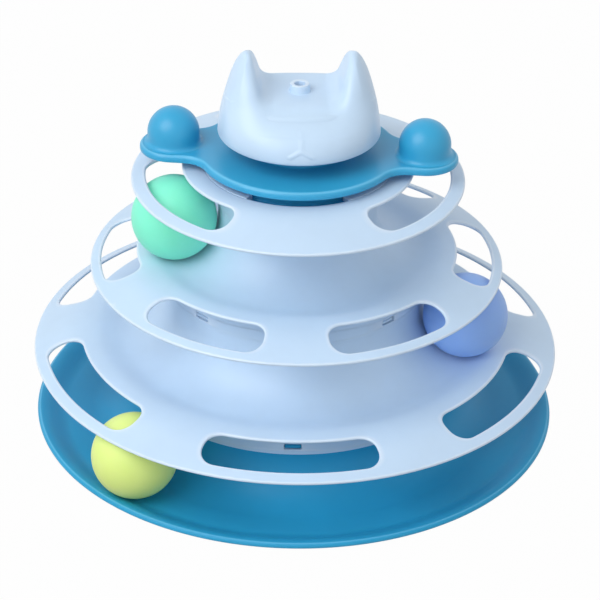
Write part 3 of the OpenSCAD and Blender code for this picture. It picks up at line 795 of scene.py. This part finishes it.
def catches(shell):
    """Ledges that run on from the deck over the well's edge and hold the spinner's lip down."""
    nose_r = WELL_R - CATCH_REACH
    profile = rounded([
        (WELL_R + WALL / 2, CATCH_NOSE_Z), (nose_r, CATCH_NOSE_Z), (nose_r, CATCH_TOP),
        (WELL_R + WALL, CATCH_TOP), (WELL_R + WALL, DECK_Z - WALL), (WELL_R + WALL / 2, DECK_Z - WALL),
    ], CATCH_EDGE_R, 4)
    for middle in (0, 180):
        shell.wedge(profile, (middle + CATCH_FROM_AZ, middle + CATCH_TO_AZ))
        shell.wedge(profile, (middle - CATCH_TO_AZ, middle - CATCH_FROM_AZ))


def base_tray():
    """The dished base: rolled lip, slope, floor, fillet, neck and spigot, as one closed shell."""
    rim_at = (BASE_R - LIP_ROLL_R, LOWER_Z + RIM_RISE)
    foot_at = (rim_at[0] - RIM_SLOPE_W, LOWER_Z)
    fillet_at = (BASE_NECK_R + BASE_FILLET_R, LOWER_Z + BASE_FILLET_R)
    sheet = Sheet(np.concatenate([
        [(BASE_NECK_R, LOWER_SHOULDER_Z - SHOULDER_EDGE)],
        arc(fillet_at, BASE_FILLET_R, 180, 270),
        np.linspace((fillet_at[0], LOWER_Z), foot_at, 6)[1:],
        ease(foot_at, rim_at),
        arc((rim_at[0], rim_at[1] - LIP_ROLL_R), LIP_ROLL_R, 90, 90 - LIP_TURN, 12)[1:],
    ]))
    shell = Shell()
    end = sheet.s[-1]
    shell.lathe(sheet.between(end - LIP_BAND_W, 0.0, 0.0, BASE_STEPS))
    # A painted highlight line along the lip's band, and a weaker one on its rolled edge
    off_highlight = np.abs(np.linspace(0, 1, LIP_BAND_STEPS + 1) - LIP_HIGHLIGHT_AT_SHARE) / LIP_HIGHLIGHT_W_SHARE
    shell.lathe(sheet.between(end - LIP_BAND_W, end, 0.0, LIP_BAND_STEPS), rim=np.maximum(1 - off_highlight, 0))
    shell.lathe(sheet.roll(BASE_WALL), rim=LIP_EDGE_HIGHLIGHT)
    shell.lathe(np.concatenate([
        [sheet.line[0]],
        spigot(BASE_NECK_R, LOWER_SHOULDER_Z, BASE_WALL),
        [(BASE_NECK_R - BASE_WALL, LOWER_SHOULDER_Z - BASE_WALL - NECK_FOOT_DROP)],
        sheet.between(BASE_FILLET_R * BASE_HOLLOW_SHARE, end, BASE_WALL, BASE_STEPS),
    ]))
    snap_lugs(shell, BASE_NECK_R, LOWER_SHOULDER_Z, 0)
    return shell.piece("base_tray", "tower", TEAL_PLASTIC, ["base_tray"])


def ball(name, track_z):
    """A ball with a faint weld line: a sphere whose radius dips by a narrow bell curve at its own equator.

    Its rows crowd towards that line: latitude is a mix of even steps and a hyperbolic sine."""
    lean, spin = SEAM_TILT[name]
    even = np.linspace(-90, 90, BALL_ROWS + 1)
    crowded = np.sinh(even / 90 * SEAM_CROWDING) / math.sinh(SEAM_CROWDING) * 90
    latitude = np.radians(SEAM_ROWS_SHARE * crowded + (1 - SEAM_ROWS_SHARE) * even)[:, None]
    longitude = np.radians(np.arange(BALL_COLUMNS) * 360 / BALL_COLUMNS)[None, :]
    radius = BALL_R - SEAM_DEPTH * np.exp(-((latitude * BALL_R / SEAM_W) ** 2))
    level_r = radius * np.cos(latitude)
    points = np.stack(np.broadcast_arrays(
        level_r * np.cos(longitude), level_r * np.sin(longitude), radius * np.sin(latitude)), axis=-1)
    turn = Matrix.Rotation(math.radians(spin), 3, "Z") @ Matrix.Rotation(math.radians(lean), 3, "X")
    middle = turned(BALL_AZ[name], BALL_TRACK[name], track_z + BALL_R + BALL_GAP)
    shell = Shell()
    shell.grid(points @ np.array(turn).T + middle)
    return shell.piece(name, name, BALL_PLASTIC[name], [name], sharp=60)


def spinner_line(margin):
    """The spinner's outline drawn in by a margin: two round-ended arms that run into a disc by fillets."""
    disc, half, fillet = DISC_R - margin, ARM_R - margin, ARM_FILLET_R + margin
    at = (math.sqrt((DISC_R + ARM_FILLET_R) ** 2 - (ARM_R + ARM_FILLET_R) ** 2), ARM_R + ARM_FILLET_R)
    lean = math.degrees(math.atan2(at[1], at[0]))
    quarter = np.concatenate([
        arc((KNOB_AT, 0), half, 0, 90, ARM_STEPS)[:-1],
        np.linspace((KNOB_AT, half), (at[0], half), 9)[:-1],
        arc(at, fillet, -90, -180 + lean, ARM_STEPS)[:-1],
        arc((0, 0), disc, lean, 90, DISC_STEPS),
    ])
    half_line = np.concatenate([quarter, (quarter * (-1, 1))[-2:0:-1]])
    return np.concatenate([half_line, -half_line])


def spinner():
    """The spinner: plate with rounded edges, hollow below, boss, bearing tube, drum and two round knobs."""
    outline = spinner_line(0.0)
    angle = np.arctan2(outline[:, 1], outline[:, 0])
    round_line = np.stack([np.cos(angle), np.sin(angle)], axis=1)
    rows, rims = [], []

    def add(line, height, rim=0.0):
        rows.append(np.concatenate([line, np.full((len(line), 1), height)], axis=1))
        rims.append(rim)

    boss_top = PLATE_TOP + BOSS_H
    hub = np.concatenate([
        [(BORE_R, HUB_Z)],
        arc((BORE_R + BORE_EDGE_R, boss_top - BORE_EDGE_R), BORE_EDGE_R, 180, 90, 4),
        arc((BOSS_TOP_R - BOSS_EDGE_R, boss_top - BOSS_EDGE_R), BOSS_EDGE_R, 90, BOSS_DRAFT, 6),
        arc((BOSS_R + BOSS_FILLET_R, PLATE_TOP + BOSS_FILLET_R), BOSS_FILLET_R, 180 + BOSS_DRAFT, 270, 8),
    ])
    for radius, height in hub:
        add(round_line * radius, height)
    foot, top_line = round_line * (BOSS_R + BOSS_FILLET_R), spinner_line(PLATE_TOP_EDGE_R)
    for share in np.linspace(0, 1, 15)[1:-1]:
        add(foot + (top_line - foot) * share, PLATE_TOP)
    for a in np.linspace(0, 90, 10):
        inset = PLATE_TOP_EDGE_R * (1 - math.sin(math.radians(a)))
        drop = PLATE_TOP_EDGE_R * (1 - math.cos(math.radians(a)))
        # A painted highlight line along the plate's rounded upper edge
        highlight = PLATE_HIGHLIGHT * max(0, 1 - abs(a - PLATE_HIGHLIGHT_AT) / PLATE_HIGHLIGHT_FADE)
        add(spinner_line(inset), PLATE_TOP - drop, highlight)
    for a in np.radians(np.linspace(0, 90, 6)):
        add(spinner_line(PLATE_FOOT_EDGE_R * (1 - math.cos(a))),
            PLATE_Z + PLATE_FOOT_EDGE_R * (1 - math.sin(a)))
    add(spinner_line(PLATE_SKIN - PLATE_FOOT_EASE), PLATE_Z)
    add(spinner_line(PLATE_SKIN), PLATE_Z + PLATE_FOOT_EASE)
    ceiling = PLATE_TOP - PLATE_SKIN
    inner_line, tube = spinner_line(PLATE_SKIN), round_line * TUBE_R
    for share in np.linspace(0, 1, 12):
        add(inner_line + (tube - inner_line) * share, ceiling)
    add(tube, HUB_Z)
    shell = Shell()
    shell.grid(np.stack(rows), np.array(rims)[:, None], close_rows=True)
    inner, outer, drum_top = DRUM_R - PLATE_SKIN, DRUM_R + DRUM_LIP, PLATE_TOP - PLATE_SKIN / 2
    shell.lathe(rounded([
        (inner, DRUM_Z), (outer, DRUM_Z), (outer, DRUM_Z + DRUM_LIP_H),
        (DRUM_R, DRUM_Z + DRUM_LIP_H), (DRUM_R, drum_top), (inner, drum_top),
    ], DRUM_EDGE_R), closed=True)
    foot_r, foot_z = KNOB_R + KNOB_FILLET_R, PLATE_TOP - KNOB_SINK
    knob = np.concatenate([
        [(0, foot_z), (foot_r, foot_z)],
        arc((foot_r, PLATE_TOP + KNOB_FILLET_R - KNOB_FILLET_SINK), KNOB_FILLET_R, -90, -180, 10),
        arc((0, PLATE_TOP + KNOB_SIDE_H), KNOB_R, 0, 90, 30),
    ])
    columns = np.arange(KNOB_COLUMNS) * 360 / KNOB_COLUMNS
    for side in (-1, 1):
        points = turned(columns[None, :], knob[:, :1], knob[:, 1:])
        points[..., 0] += side * KNOB_AT
        shell.grid(points)
    shell.turn(SPINNER_TURN)
    return shell.piece("spinner", "spinner", SPINNER_PLASTIC, ["spinner"])


def section(share, inset=0.0):
    """Half width, half depth, forward lean and power of the cap's oval section at a share of its height."""
    held = np.maximum(share, 0)
    half_w = CAP_R * (1 - SIDE_LEAN_SHARE * held**SIDE_LEAN_POWER)
    half_d = CAP_R * smooth_depth(held)
    up = 1 - (1 - np.minimum(1, held / LEAN_END_SHARE)) ** 2
    over = np.clip((held - SADDLE_SHARE) / (1 - SADDLE_SHARE), 0, 1)
    lean = EAR_BACK * smooth_step(over) - CAP_R * LEAN_SHARE * up
    return half_w - inset, half_d - inset, lean, 2 + (SADDLE_POWER - 2) * up


def smooth_depth(share):
    """Share of the cap's half depth at a share of its height.

    It is its table averaged with bell weights over a narrow span, and above its last place a straight fall
    to nearly nothing at the ridge."""
    off = np.linspace(-DEPTH_BLUR_SHARE, DEPTH_BLUR_SHARE, DEPTH_BLUR_STEPS + 1)
    weight = 1 + np.cos(np.pi * off / DEPTH_BLUR_SHARE)
    at = np.abs(np.asarray(share)[..., None] + off)
    depth = np.interp(at, DEPTH_AT_SHARES, DEPTH_SHARES) - np.maximum(at - 1, 0) * RIDGE_FALL
    return np.maximum((depth * weight).sum(axis=-1) / weight.sum(), LEAST_DEPTH_SHARE)


def oval(half_w, half_d, angle, power):
    """Points of an oval: a half axis times the cosine or sine to the power of two over the oval's power."""
    cosine, sine = np.cos(angle), np.sin(angle)
    x = half_w * np.sign(cosine) * np.abs(cosine) ** (2 / power)
    return x, half_d * np.sign(sine) * np.abs(sine) ** (2 / power)


def smooth_most(a, b, blend):
    """The greater of two distances with the crease between them rounded.

    A sixth of the blend is added, times the cube of how near the two are as a share of the blend."""
    near = np.maximum(blend - np.abs(a - b), 0) / blend
    return np.maximum(a, b) + near**3 * blend / 6


def ear_distance(x, z):
    """Distance from the front view of the cap's top, more than nought in the air.

    The view is a level saddle, a hollow arc at its end, the straight line that touches that arc and the
    ear's round tip, and the tip's outer side, which falls straight."""
    away, up = np.abs(x) - SADDLE_HALF_W, z - SADDLE_Z - SADDLE_R
    reach, height = EAR_TIP_AT[0] - SADDLE_HALF_W, EAR_TIP_AT[1] - SADDLE_Z - SADDLE_R
    lean = math.atan2(height, reach) + math.asin((SADDLE_R + EAR_TIP_R) / math.hypot(reach, height))
    fall = math.radians(EAR_FALL)
    out, over = away - reach, up - height
    inner = over * math.cos(lean) - out * math.sin(lean)
    outer = over * math.cos(fall) + out * math.sin(fall)
    before_tip = out * math.cos(lean) + over * math.sin(lean) < 0
    beside = before_tip | (out * math.cos(fall) > over * math.sin(fall))
    ear = np.where(beside, np.maximum(inner, outer), np.hypot(out, over)) - EAR_TIP_R
    hollow = np.arctan2(away, -up) < lean
    return np.where(away < 0, up + SADDLE_R, np.where(hollow, SADDLE_R - np.hypot(away, up), ear))


def cap_height(x, y):
    """Height of the cap's outside over a point, found by halving.

    It is where the greater of two distances is nought: the distance from the oval section at that height,
    along the line to its middle, and the distance from the front view of the saddle and ears. The crease
    between the two is rounded widely in front and narrowly behind."""
    forward = np.clip((LIP_SOFT_FROM - y) / LIP_SOFT_SPAN, 0, 1)
    blend = LIP_BLEND_BACK + (LIP_BLEND_FRONT - LIP_BLEND_BACK) * smooth_step(forward)
    low, high = np.zeros_like(x), np.full_like(x, RIDGE_SHARE)
    for _ in range(HALVINGS):
        middle = (low + high) / 2
        half_w, half_d, lean, power = section(middle)
        reach = (np.abs(x / half_w) ** power + np.abs((y - lean) / half_d) ** power) ** (1 / power)
        outside = np.hypot(x, y - lean) * (1 - 1 / np.maximum(reach, 1e-6))
        soft = blend * np.clip((middle - WALL_SHARE) / LIP_START_SHARE, LEAST_SOFT_SHARE, 1)
        inside = smooth_most(outside, ear_distance(x, CAP_Z + CAP_H * middle), soft) < 0
        low, high = np.where(inside, middle, low), np.where(inside, high, middle)
    return CAP_Z + CAP_H * low


def muzzle_rise(x, z):
    """How far the muzzle's relief stands out: a low ridge along an upright stem and two arms below it."""
    away = np.abs(x)
    nearest = np.full_like(x, np.inf)
    for start, stop in (MUZZLE_STEM, MUZZLE_ARM):
        start, along = np.array(start), np.array(stop) - np.array(start)
        share = np.clip(((away - start[0]) * along[0] + (z - start[1]) * along[1]) / (along @ along), 0, 1)
        gap = np.hypot(away - start[0] - share * along[0], z - start[1] - share * along[1])
        nearest = np.minimum(nearest, gap)
    near = np.clip((MUZZLE_HALF_W - nearest) / MUZZLE_SOFT_W, 0, 1)
    return MUZZLE_RISE * smooth_step(near)


def cat_cap():
    """The cat-shaped cap: oval sections that lean and narrow upwards, cut between its ears and hollow."""
    shell = Shell()
    angle = np.radians(np.arange(CAP_COLUMNS) * 360 / CAP_COLUMNS)[None, :]
    share = np.linspace(CAP_EDGE_R / CAP_H, WALL_SHARE, WALL_ROWS)[:, None]
    half_w, half_d, lean, power = section(share)
    x, y = oval(half_w, half_d, angle, power)
    z = CAP_Z + CAP_H * share + 0 * angle
    wall = np.stack([x, y + lean - muzzle_rise(x, z) * (np.sin(angle) < 0), z], axis=-1)
    foot_w, foot_d = section(np.array(0.0))[:2]
    roll = np.radians(np.linspace(-180, 0, 9))[:, None]
    inset = CAP_EDGE_R * (1 - np.cos(roll))
    edge = np.stack(np.broadcast_arrays(
        (foot_w - inset) * np.cos(angle), (foot_d - inset) * np.sin(angle),
        CAP_Z + CAP_EDGE_R * (1 + np.sin(roll))), axis=-1)
    shell.grid(np.concatenate([edge, wall]))

    start = np.stack([x[-1], (y + lean)[-1]], axis=-1)
    bearing = np.arctan2(start[:, 1], start[:, 0])
    tube_foot = SOCKET_FOOT_R + SOCKET_FOOT_EDGE_R
    stop = tube_foot * np.stack([np.cos(bearing), np.sin(bearing)], axis=1)
    go = (np.linspace(0, 1, TOP_ROWS + 1) ** TOP_CROWDING)[:, None, None]
    plan = start + (stop - start) * go
    height = cap_height(plan[..., 0], plan[..., 1])
    height[0] = wall[-1, :, 2]
    relief = muzzle_rise(plan[..., 0], height) * (plan[..., 1] < -MUZZLE_FROM)
    shell.grid(np.stack([plan[..., 0], plan[..., 1] - relief, height], axis=-1))

    lip_z = SOCKET_TOP - SOCKET_EDGE_R
    socket = np.concatenate([
        arc((tube_foot, SADDLE_Z + SOCKET_FOOT_EDGE_R), SOCKET_FOOT_EDGE_R, -90, -180, 6),
        arc((SOCKET_TUBE_R - SOCKET_EDGE_R, lip_z), SOCKET_EDGE_R, 0, 90, EDGE_STEPS),
        arc((SOCKET_R + SOCKET_EDGE_R, lip_z), SOCKET_EDGE_R, 90, 180, EDGE_STEPS),
        [(SOCKET_R, SOCKET_TOP - SOCKET_DEPTH), (0, SOCKET_TOP - SOCKET_DEPTH)],
    ])
    azimuth = np.degrees(bearing)[None, :] + 90
    # A painted highlight on the socket's top, fading out below it
    socket_highlight = np.clip((socket[:, 1:] - SOCKET_TOP + SOCKET_HIGHLIGHT_H) / SOCKET_HIGHLIGHT_H, 0, 1)
    shell.grid(turned(azimuth, socket[:, :1], socket[:, 1:]), socket_highlight)

    share = np.linspace(CAP_EDGE_R / CAP_H, SADDLE_SHARE - CAP_WALL / CAP_H, HOLLOW_ROWS)[:, None]
    half_w, half_d, lean, power = section(share, 2 * CAP_EDGE_R)
    x, y = oval(half_w, half_d, angle, power)
    inside = np.stack(np.broadcast_arrays(x, y + lean, CAP_Z + CAP_H * share), axis=-1)
    roof = inside[-1:] * (0, 0, 1)
    shell.grid(np.concatenate([inside, roof]))

    seat_z, roof_z = CUP_Z + CUP_DEPTH, SADDLE_Z - CAP_WALL + CUP_SEAT
    cup_r, over_z = CUP_BORE_R + CUP_WALL, seat_z + CUP_WALL
    shell.lathe([
        (0, seat_z), (CUP_BORE_R, seat_z), (CUP_BORE_R, CUP_Z), (cup_r, CUP_Z), (cup_r, over_z),
        (SOCKET_TUBE_R, over_z), (SOCKET_TUBE_R, roof_z), (0, roof_z),
    ])
    shell.turn(CAP_TURN)
    return shell.piece("cat_cap", "tower", CAP_PLASTIC, ["cat_cap"], sharp=50)


def put(tree, node, inputs):
    """Gives each named or numbered input of a node its value, or a link where the value is a socket."""
    for key, value in inputs.items():
        if isinstance(value, bpy.types.NodeSocket):
            tree.links.new(value, node.inputs[key])
        else:
            node.inputs[key].default_value = value


def add_node(tree, kind, inputs=None, **settings):
    """A new node with its settings and its inputs."""
    made = tree.nodes.new(kind)
    for key, value in settings.items():
        setattr(made, key, value)
    put(tree, made, inputs or {})
    return made


def maths(tree, operation, *values):
    """The result of an operation on values or sockets."""
    return add_node(tree, "ShaderNodeMath", dict(enumerate(values)), operation=operation).outputs[0]


def noise(tree, place, scale, detail, roughness):
    """Soft random values from 0 to 1 over a place."""
    inputs = {"Vector": place, "Scale": scale, "Detail": detail, "Roughness": roughness}
    return add_node(tree, "ShaderNodeTexNoise", inputs).outputs["Fac"]


def spread(tree, value, from_min, from_max, to_min, to_max):
    """A value taken from one range to another and held inside it."""
    inputs = {
        "Value": value, "From Min": from_min, "From Max": from_max, "To Min": to_min, "To Max": to_max,
    }
    return add_node(tree, "ShaderNodeMapRange", inputs).outputs["Result"]


def blended(tree, share, first, second):
    """A colour that goes from the first to the second with a share."""
    inputs = {"Factor": share, 6: first, 7: second}
    return add_node(tree, "ShaderNodeMix", inputs, data_type="RGBA").outputs[2]


def moulded_skin():
    """Shader group for moulded plastic: cloudy shade, painted edge highlights, fine spark-eroded grain,
    light scuffs.
    """
    tree = bpy.data.node_groups.new("moulded skin", "ShaderNodeTree")
    for way, kind, labels in (
            ("INPUT", "NodeSocketColor", ("Colour", "Highlight colour")),
            ("INPUT", "NodeSocketFloat", ("Roughness", "Cloud", "Scuff", "Grain size")),
            ("OUTPUT", "NodeSocketColor", ("Colour",)),
            ("OUTPUT", "NodeSocketFloat", ("Roughness", "Height"))):
        for label in labels:
            tree.interface.new_socket(label, in_out=way, socket_type=kind)
    given = tree.nodes.new("NodeGroupInput").outputs
    place = tree.nodes.new("ShaderNodeTexCoord").outputs["Object"]
    # The share of painted highlight that the mesh carries along lit edges
    rim = add_node(tree, "ShaderNodeAttribute", attribute_name="rim").outputs["Fac"]

    cloud = noise(tree, place, CLOUD_SCALE, detail=3.0, roughness=0.6)
    shade = spread(tree, cloud, 0.3, 0.7, -0.5, 0.5)
    cloudy = maths(tree, "MULTIPLY_ADD", shade, given["Cloud"], 1.0)
    # Painted highlight: the colour goes towards the paler highlight colour where the mesh marks an edge
    rim_share = spread(tree, rim, 0.0, 1.0, 0.0, HIGHLIGHT_TINT_SHARE)
    tint = blended(tree, rim_share, given["Colour"], given["Highlight colour"])
    colour = add_node(tree, "ShaderNodeVectorMath", {0: tint, "Scale": cloudy}, operation="SCALE")

    drawn_out = {"Vector": place, "Scale": SCRATCH_SCALE, "Rotation": SCRATCH_TURN}
    scratch_place = add_node(tree, "ShaderNodeMapping", drawn_out).outputs["Vector"]
    fine = noise(tree, scratch_place, 1.0, detail=4.0, roughness=0.7)
    scratches = spread(tree, fine, 0.56, 0.68, 0.0, 1.0)
    patches = spread(tree, cloud, 0.45, 0.65, 0.0, 1.0)
    scuffed = maths(tree, "MULTIPLY", scratches, patches)
    dulled = maths(tree, "MULTIPLY_ADD", scuffed, given["Scuff"], given["Roughness"])
    roughness = maths(tree, "MULTIPLY_ADD", rim, HIGHLIGHT_SLEEK, dulled)

    per_metre = maths(tree, "DIVIDE", 1 / MM, given["Grain size"])
    grain = noise(tree, place, per_metre, detail=2.0, roughness=0.5)
    result = {"Colour": colour.outputs[0], "Roughness": roughness, "Height": grain}
    add_node(tree, "NodeGroupOutput", result)
    return tree


def new_material(name):
    """An empty material, its node tree and its shader."""
    made = bpy.data.materials.new(name)
    made.use_nodes = True
    return made, made.node_tree, made.node_tree.nodes["Principled BSDF"]


def plastic(name, colour, rim_colour, roughness, cloud=0.05, scuff=0.1, grain=0.35, depth=0.012,
            glow=0.12, reach=1.5, gloss=0.5):
    """A moulded plastic: the skin group with its own values, a little light passing under the surface.

    Grain is the width of the surface's grains and depth their height; reach is how far light passes."""
    made, tree, shader = new_material(name)
    # The highlight colour is painted where the mesh marks lit edges
    skin = add_node(tree, "ShaderNodeGroup", {
        "Colour": linear(colour), "Highlight colour": linear(rim_colour), "Roughness": roughness,
        "Cloud": cloud, "Scuff": scuff, "Grain size": grain,
    }, node_tree=MOULDED_SKIN).outputs
    bump = {"Height": skin["Height"], "Strength": BUMP_STRENGTH, "Distance": depth * MM}
    put(tree, shader, {
        "Base Color": skin["Colour"],
        "Roughness": skin["Roughness"],
        "Normal": add_node(tree, "ShaderNodeBump", bump).outputs["Normal"],
        "Subsurface Weight": glow,
        "Subsurface Radius": (1.0, 1.0, 1.0),
        "Subsurface Scale": reach * MM,
        "IOR": PLASTIC_IOR,
        "Specular IOR Level": gloss,
    })
    return made


def plated_steel():
    """Plated steel with fine turning marks about the tower's axis."""
    made, tree, shader = new_material("plated steel")
    place = tree.nodes.new("ShaderNodeTexCoord").outputs["Object"]
    inputs = {"Vector": place, "Scale": STEEL_RINGS, "Distortion": 1.5, "Detail": 2.0}
    wave = add_node(tree, "ShaderNodeTexWave", inputs, wave_type="RINGS", rings_direction="Z")
    rings = wave.outputs["Fac"]
    dark = linear([value * STEEL_DARK_SHARE for value in STEEL])
    put(tree, shader, {
        "Base Color": blended(tree, rings, linear(STEEL), dark),
        "Roughness": spread(tree, rings, 0.0, 1.0, 0.24, 0.4),
        "Metallic": 1.0,
    })
    return made


def seen(tree):
    """One for the rays of the camera, of reflections and through clear bodies, nought for the others."""
    path = tree.nodes.new("ShaderNodeLightPath").outputs
    mirrored = maths(tree, "MAXIMUM", path["Is Camera Ray"], path["Is Glossy Ray"])
    return maths(tree, "MAXIMUM", mirrored, path["Is Transmission Ray"])


def mixed_output(tree, kind, share, first, second):
    """Ends a node tree with a share of the second shader over the first."""
    mixed = add_node(tree, "ShaderNodeMixShader", {0: share, 1: first.outputs[0], 2: second.outputs[0]})
    add_node(tree, kind, {"Surface": mixed.outputs[0]})


def floor():
    """A floor that is white where it is seen, with a share of plain grey that takes the shadow."""
    material, tree, _ = new_material("floor white")
    tree.nodes.clear()
    grey = add_node(tree, "ShaderNodeBsdfDiffuse", {"Color": FLOOR_GREY})
    white = add_node(tree, "ShaderNodeEmission", {"Color": WHITE, "Strength": 1.0})
    share = maths(tree, "MULTIPLY", seen(tree), FLOOR_WHITE_SHARE)
    mixed_output(tree, "ShaderNodeOutputMaterial", share, grey, white)
    mesh = bpy.data.meshes.new("floor")
    corners = [(x * FLOOR_REACH, y * FLOOR_REACH, 0) for x, y in ((-1, -1), (1, -1), (1, 1), (-1, 1))]
    mesh.from_pydata(corners, [], [(0, 1, 2, 3)])
    mesh.materials.append(material)
    new_object("floor", mesh)


def surround():
    """White where it is seen; its light falls off from the horizon to overhead."""
    world = bpy.data.worlds.new("studio")
    bpy.context.scene.world = world
    world.use_nodes = True
    tree = world.node_tree
    tree.nodes.clear()
    direction = tree.nodes.new("ShaderNodeTexCoord").outputs["Generated"]
    rise = add_node(tree, "ShaderNodeSeparateXYZ", {0: direction}).outputs["Z"]
    strength = spread(tree, rise, 0.0, 1.0, WORLD_AT_HORIZON, WORLD_OVERHEAD)
    even = add_node(tree, "ShaderNodeBackground", {"Color": WHITE, "Strength": strength})
    white = add_node(tree, "ShaderNodeBackground", {"Color": WHITE, "Strength": 1.0})
    mixed_output(tree, "ShaderNodeOutputWorld", seen(tree), even, white)


def lamps():
    """A large key lamp at the upper left and a weak broad fill in front, both round."""
    for name, azimuth, rise, away, size, power in LAMPS:
        lamp = bpy.data.lights.new(name, "AREA")
        lamp.shape = "DISK"
        lamp.size = size
        lamp.energy = power
        stand = new_object(name, lamp)
        tilt = math.radians(rise)
        at = turned(azimuth, away * math.cos(tilt), away * math.sin(tilt)) + LAMP_AIM
        sideways = Matrix.Rotation(math.radians(azimuth), 4, "Z")
        down = Matrix.Rotation(math.radians(90 - rise), 4, "X")
        stand.matrix_world = Matrix.Translation(at) @ sideways @ down


def camera():
    """The photograph's camera."""
    lens = bpy.data.cameras.new("camera")
    lens.lens = LENS
    lens.sensor_width = SENSOR
    lens.clip_start, lens.clip_end = CLIP
    made = new_object("camera", lens)
    turn = Matrix((CAMERA_RIGHT, CAMERA_UP, CAMERA_BACK)).transposed()
    made.matrix_world = Matrix.Translation([value * MM for value in CAMERA_AT]) @ turn.to_4x4()
    bpy.context.scene.camera = made


camera()
bpy.context.scene.view_settings.view_transform = "Standard"
floor()
surround()
lamps()

MOULDED_SKIN = moulded_skin()
TIER_PLASTIC = plastic("pale blue moulding", PALE_BLUE, PALE_HIGHLIGHT, 0.42)
CAP_PLASTIC = plastic("pale blue cap moulding", PALE_BLUE, PALE_HIGHLIGHT, 0.36, grain=0.25)
TEAL_PLASTIC = plastic("teal base moulding", TEAL, TEAL_HIGHLIGHT, 0.46, gloss=0.3)
SPINNER_PLASTIC = plastic("teal spinner moulding", SPINNER_TEAL_PAINTED_SHEEN, TEAL_HIGHLIGHT, 0.36)
BALL_PLASTIC = {
    name: plastic(label, colour, colour, 0.5, glow=0.7, reach=5) for name, label, colour in (
        ("lower_ball", "yellow-green ball", YELLOW_GREEN),
        ("middle_ball", "periwinkle ball", PERIWINKLE),
        ("upper_ball", "mint ball", MINT))
}
PAD_RUBBER = plastic(
    "pad rubber", RUBBER, RUBBER, 0.75, cloud=0.2, scuff=0.05, grain=0.6, depth=0.05, glow=0.0)
WASHER_PLASTIC = plastic("washer plastic", WASHER_WHITE, WASHER_WHITE, 0.35, glow=0.2)

base_tray()
track_tier(
    "lower_tier", "lower", (BASE_NECK_R + SKIRT_PROUD, LOWER_SHOULDER_Z),
    (MIDDLE_NECK_R, MIDDLE_Z, MIDDLE_FILLET_R, MIDDLE_SHOULDER_Z), LOWER_CROWN,
    first_window=0, slot_azimuth=0, lug_azimuth=TURN["lower"] + 45)
track_tier(
    "middle_tier", "middle", (MIDDLE_NECK_R + SKIRT_PROUD, MIDDLE_SHOULDER_Z),
    (UPPER_NECK_R, UPPER_Z, UPPER_FILLET_R, UPPER_SHOULDER_Z), MIDDLE_CROWN,
    first_window=30, slot_azimuth=45, lug_azimuth=TURN["middle"])
top_tier()
ball("lower_ball", LOWER_Z)
ball("middle_ball", MIDDLE_Z)
ball("upper_ball", UPPER_Z)
spinner()
cat_cap()

finishes = {f"foot_pad_{number}": PAD_RUBBER for number in range(1, 7)}
finishes.update({"thrust_washer": WASHER_PLASTIC, "cap_screw": plated_steel()})
for node, material in finishes.items():
    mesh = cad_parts[node].data
    mesh.materials.clear()
    mesh.materials.append(material)
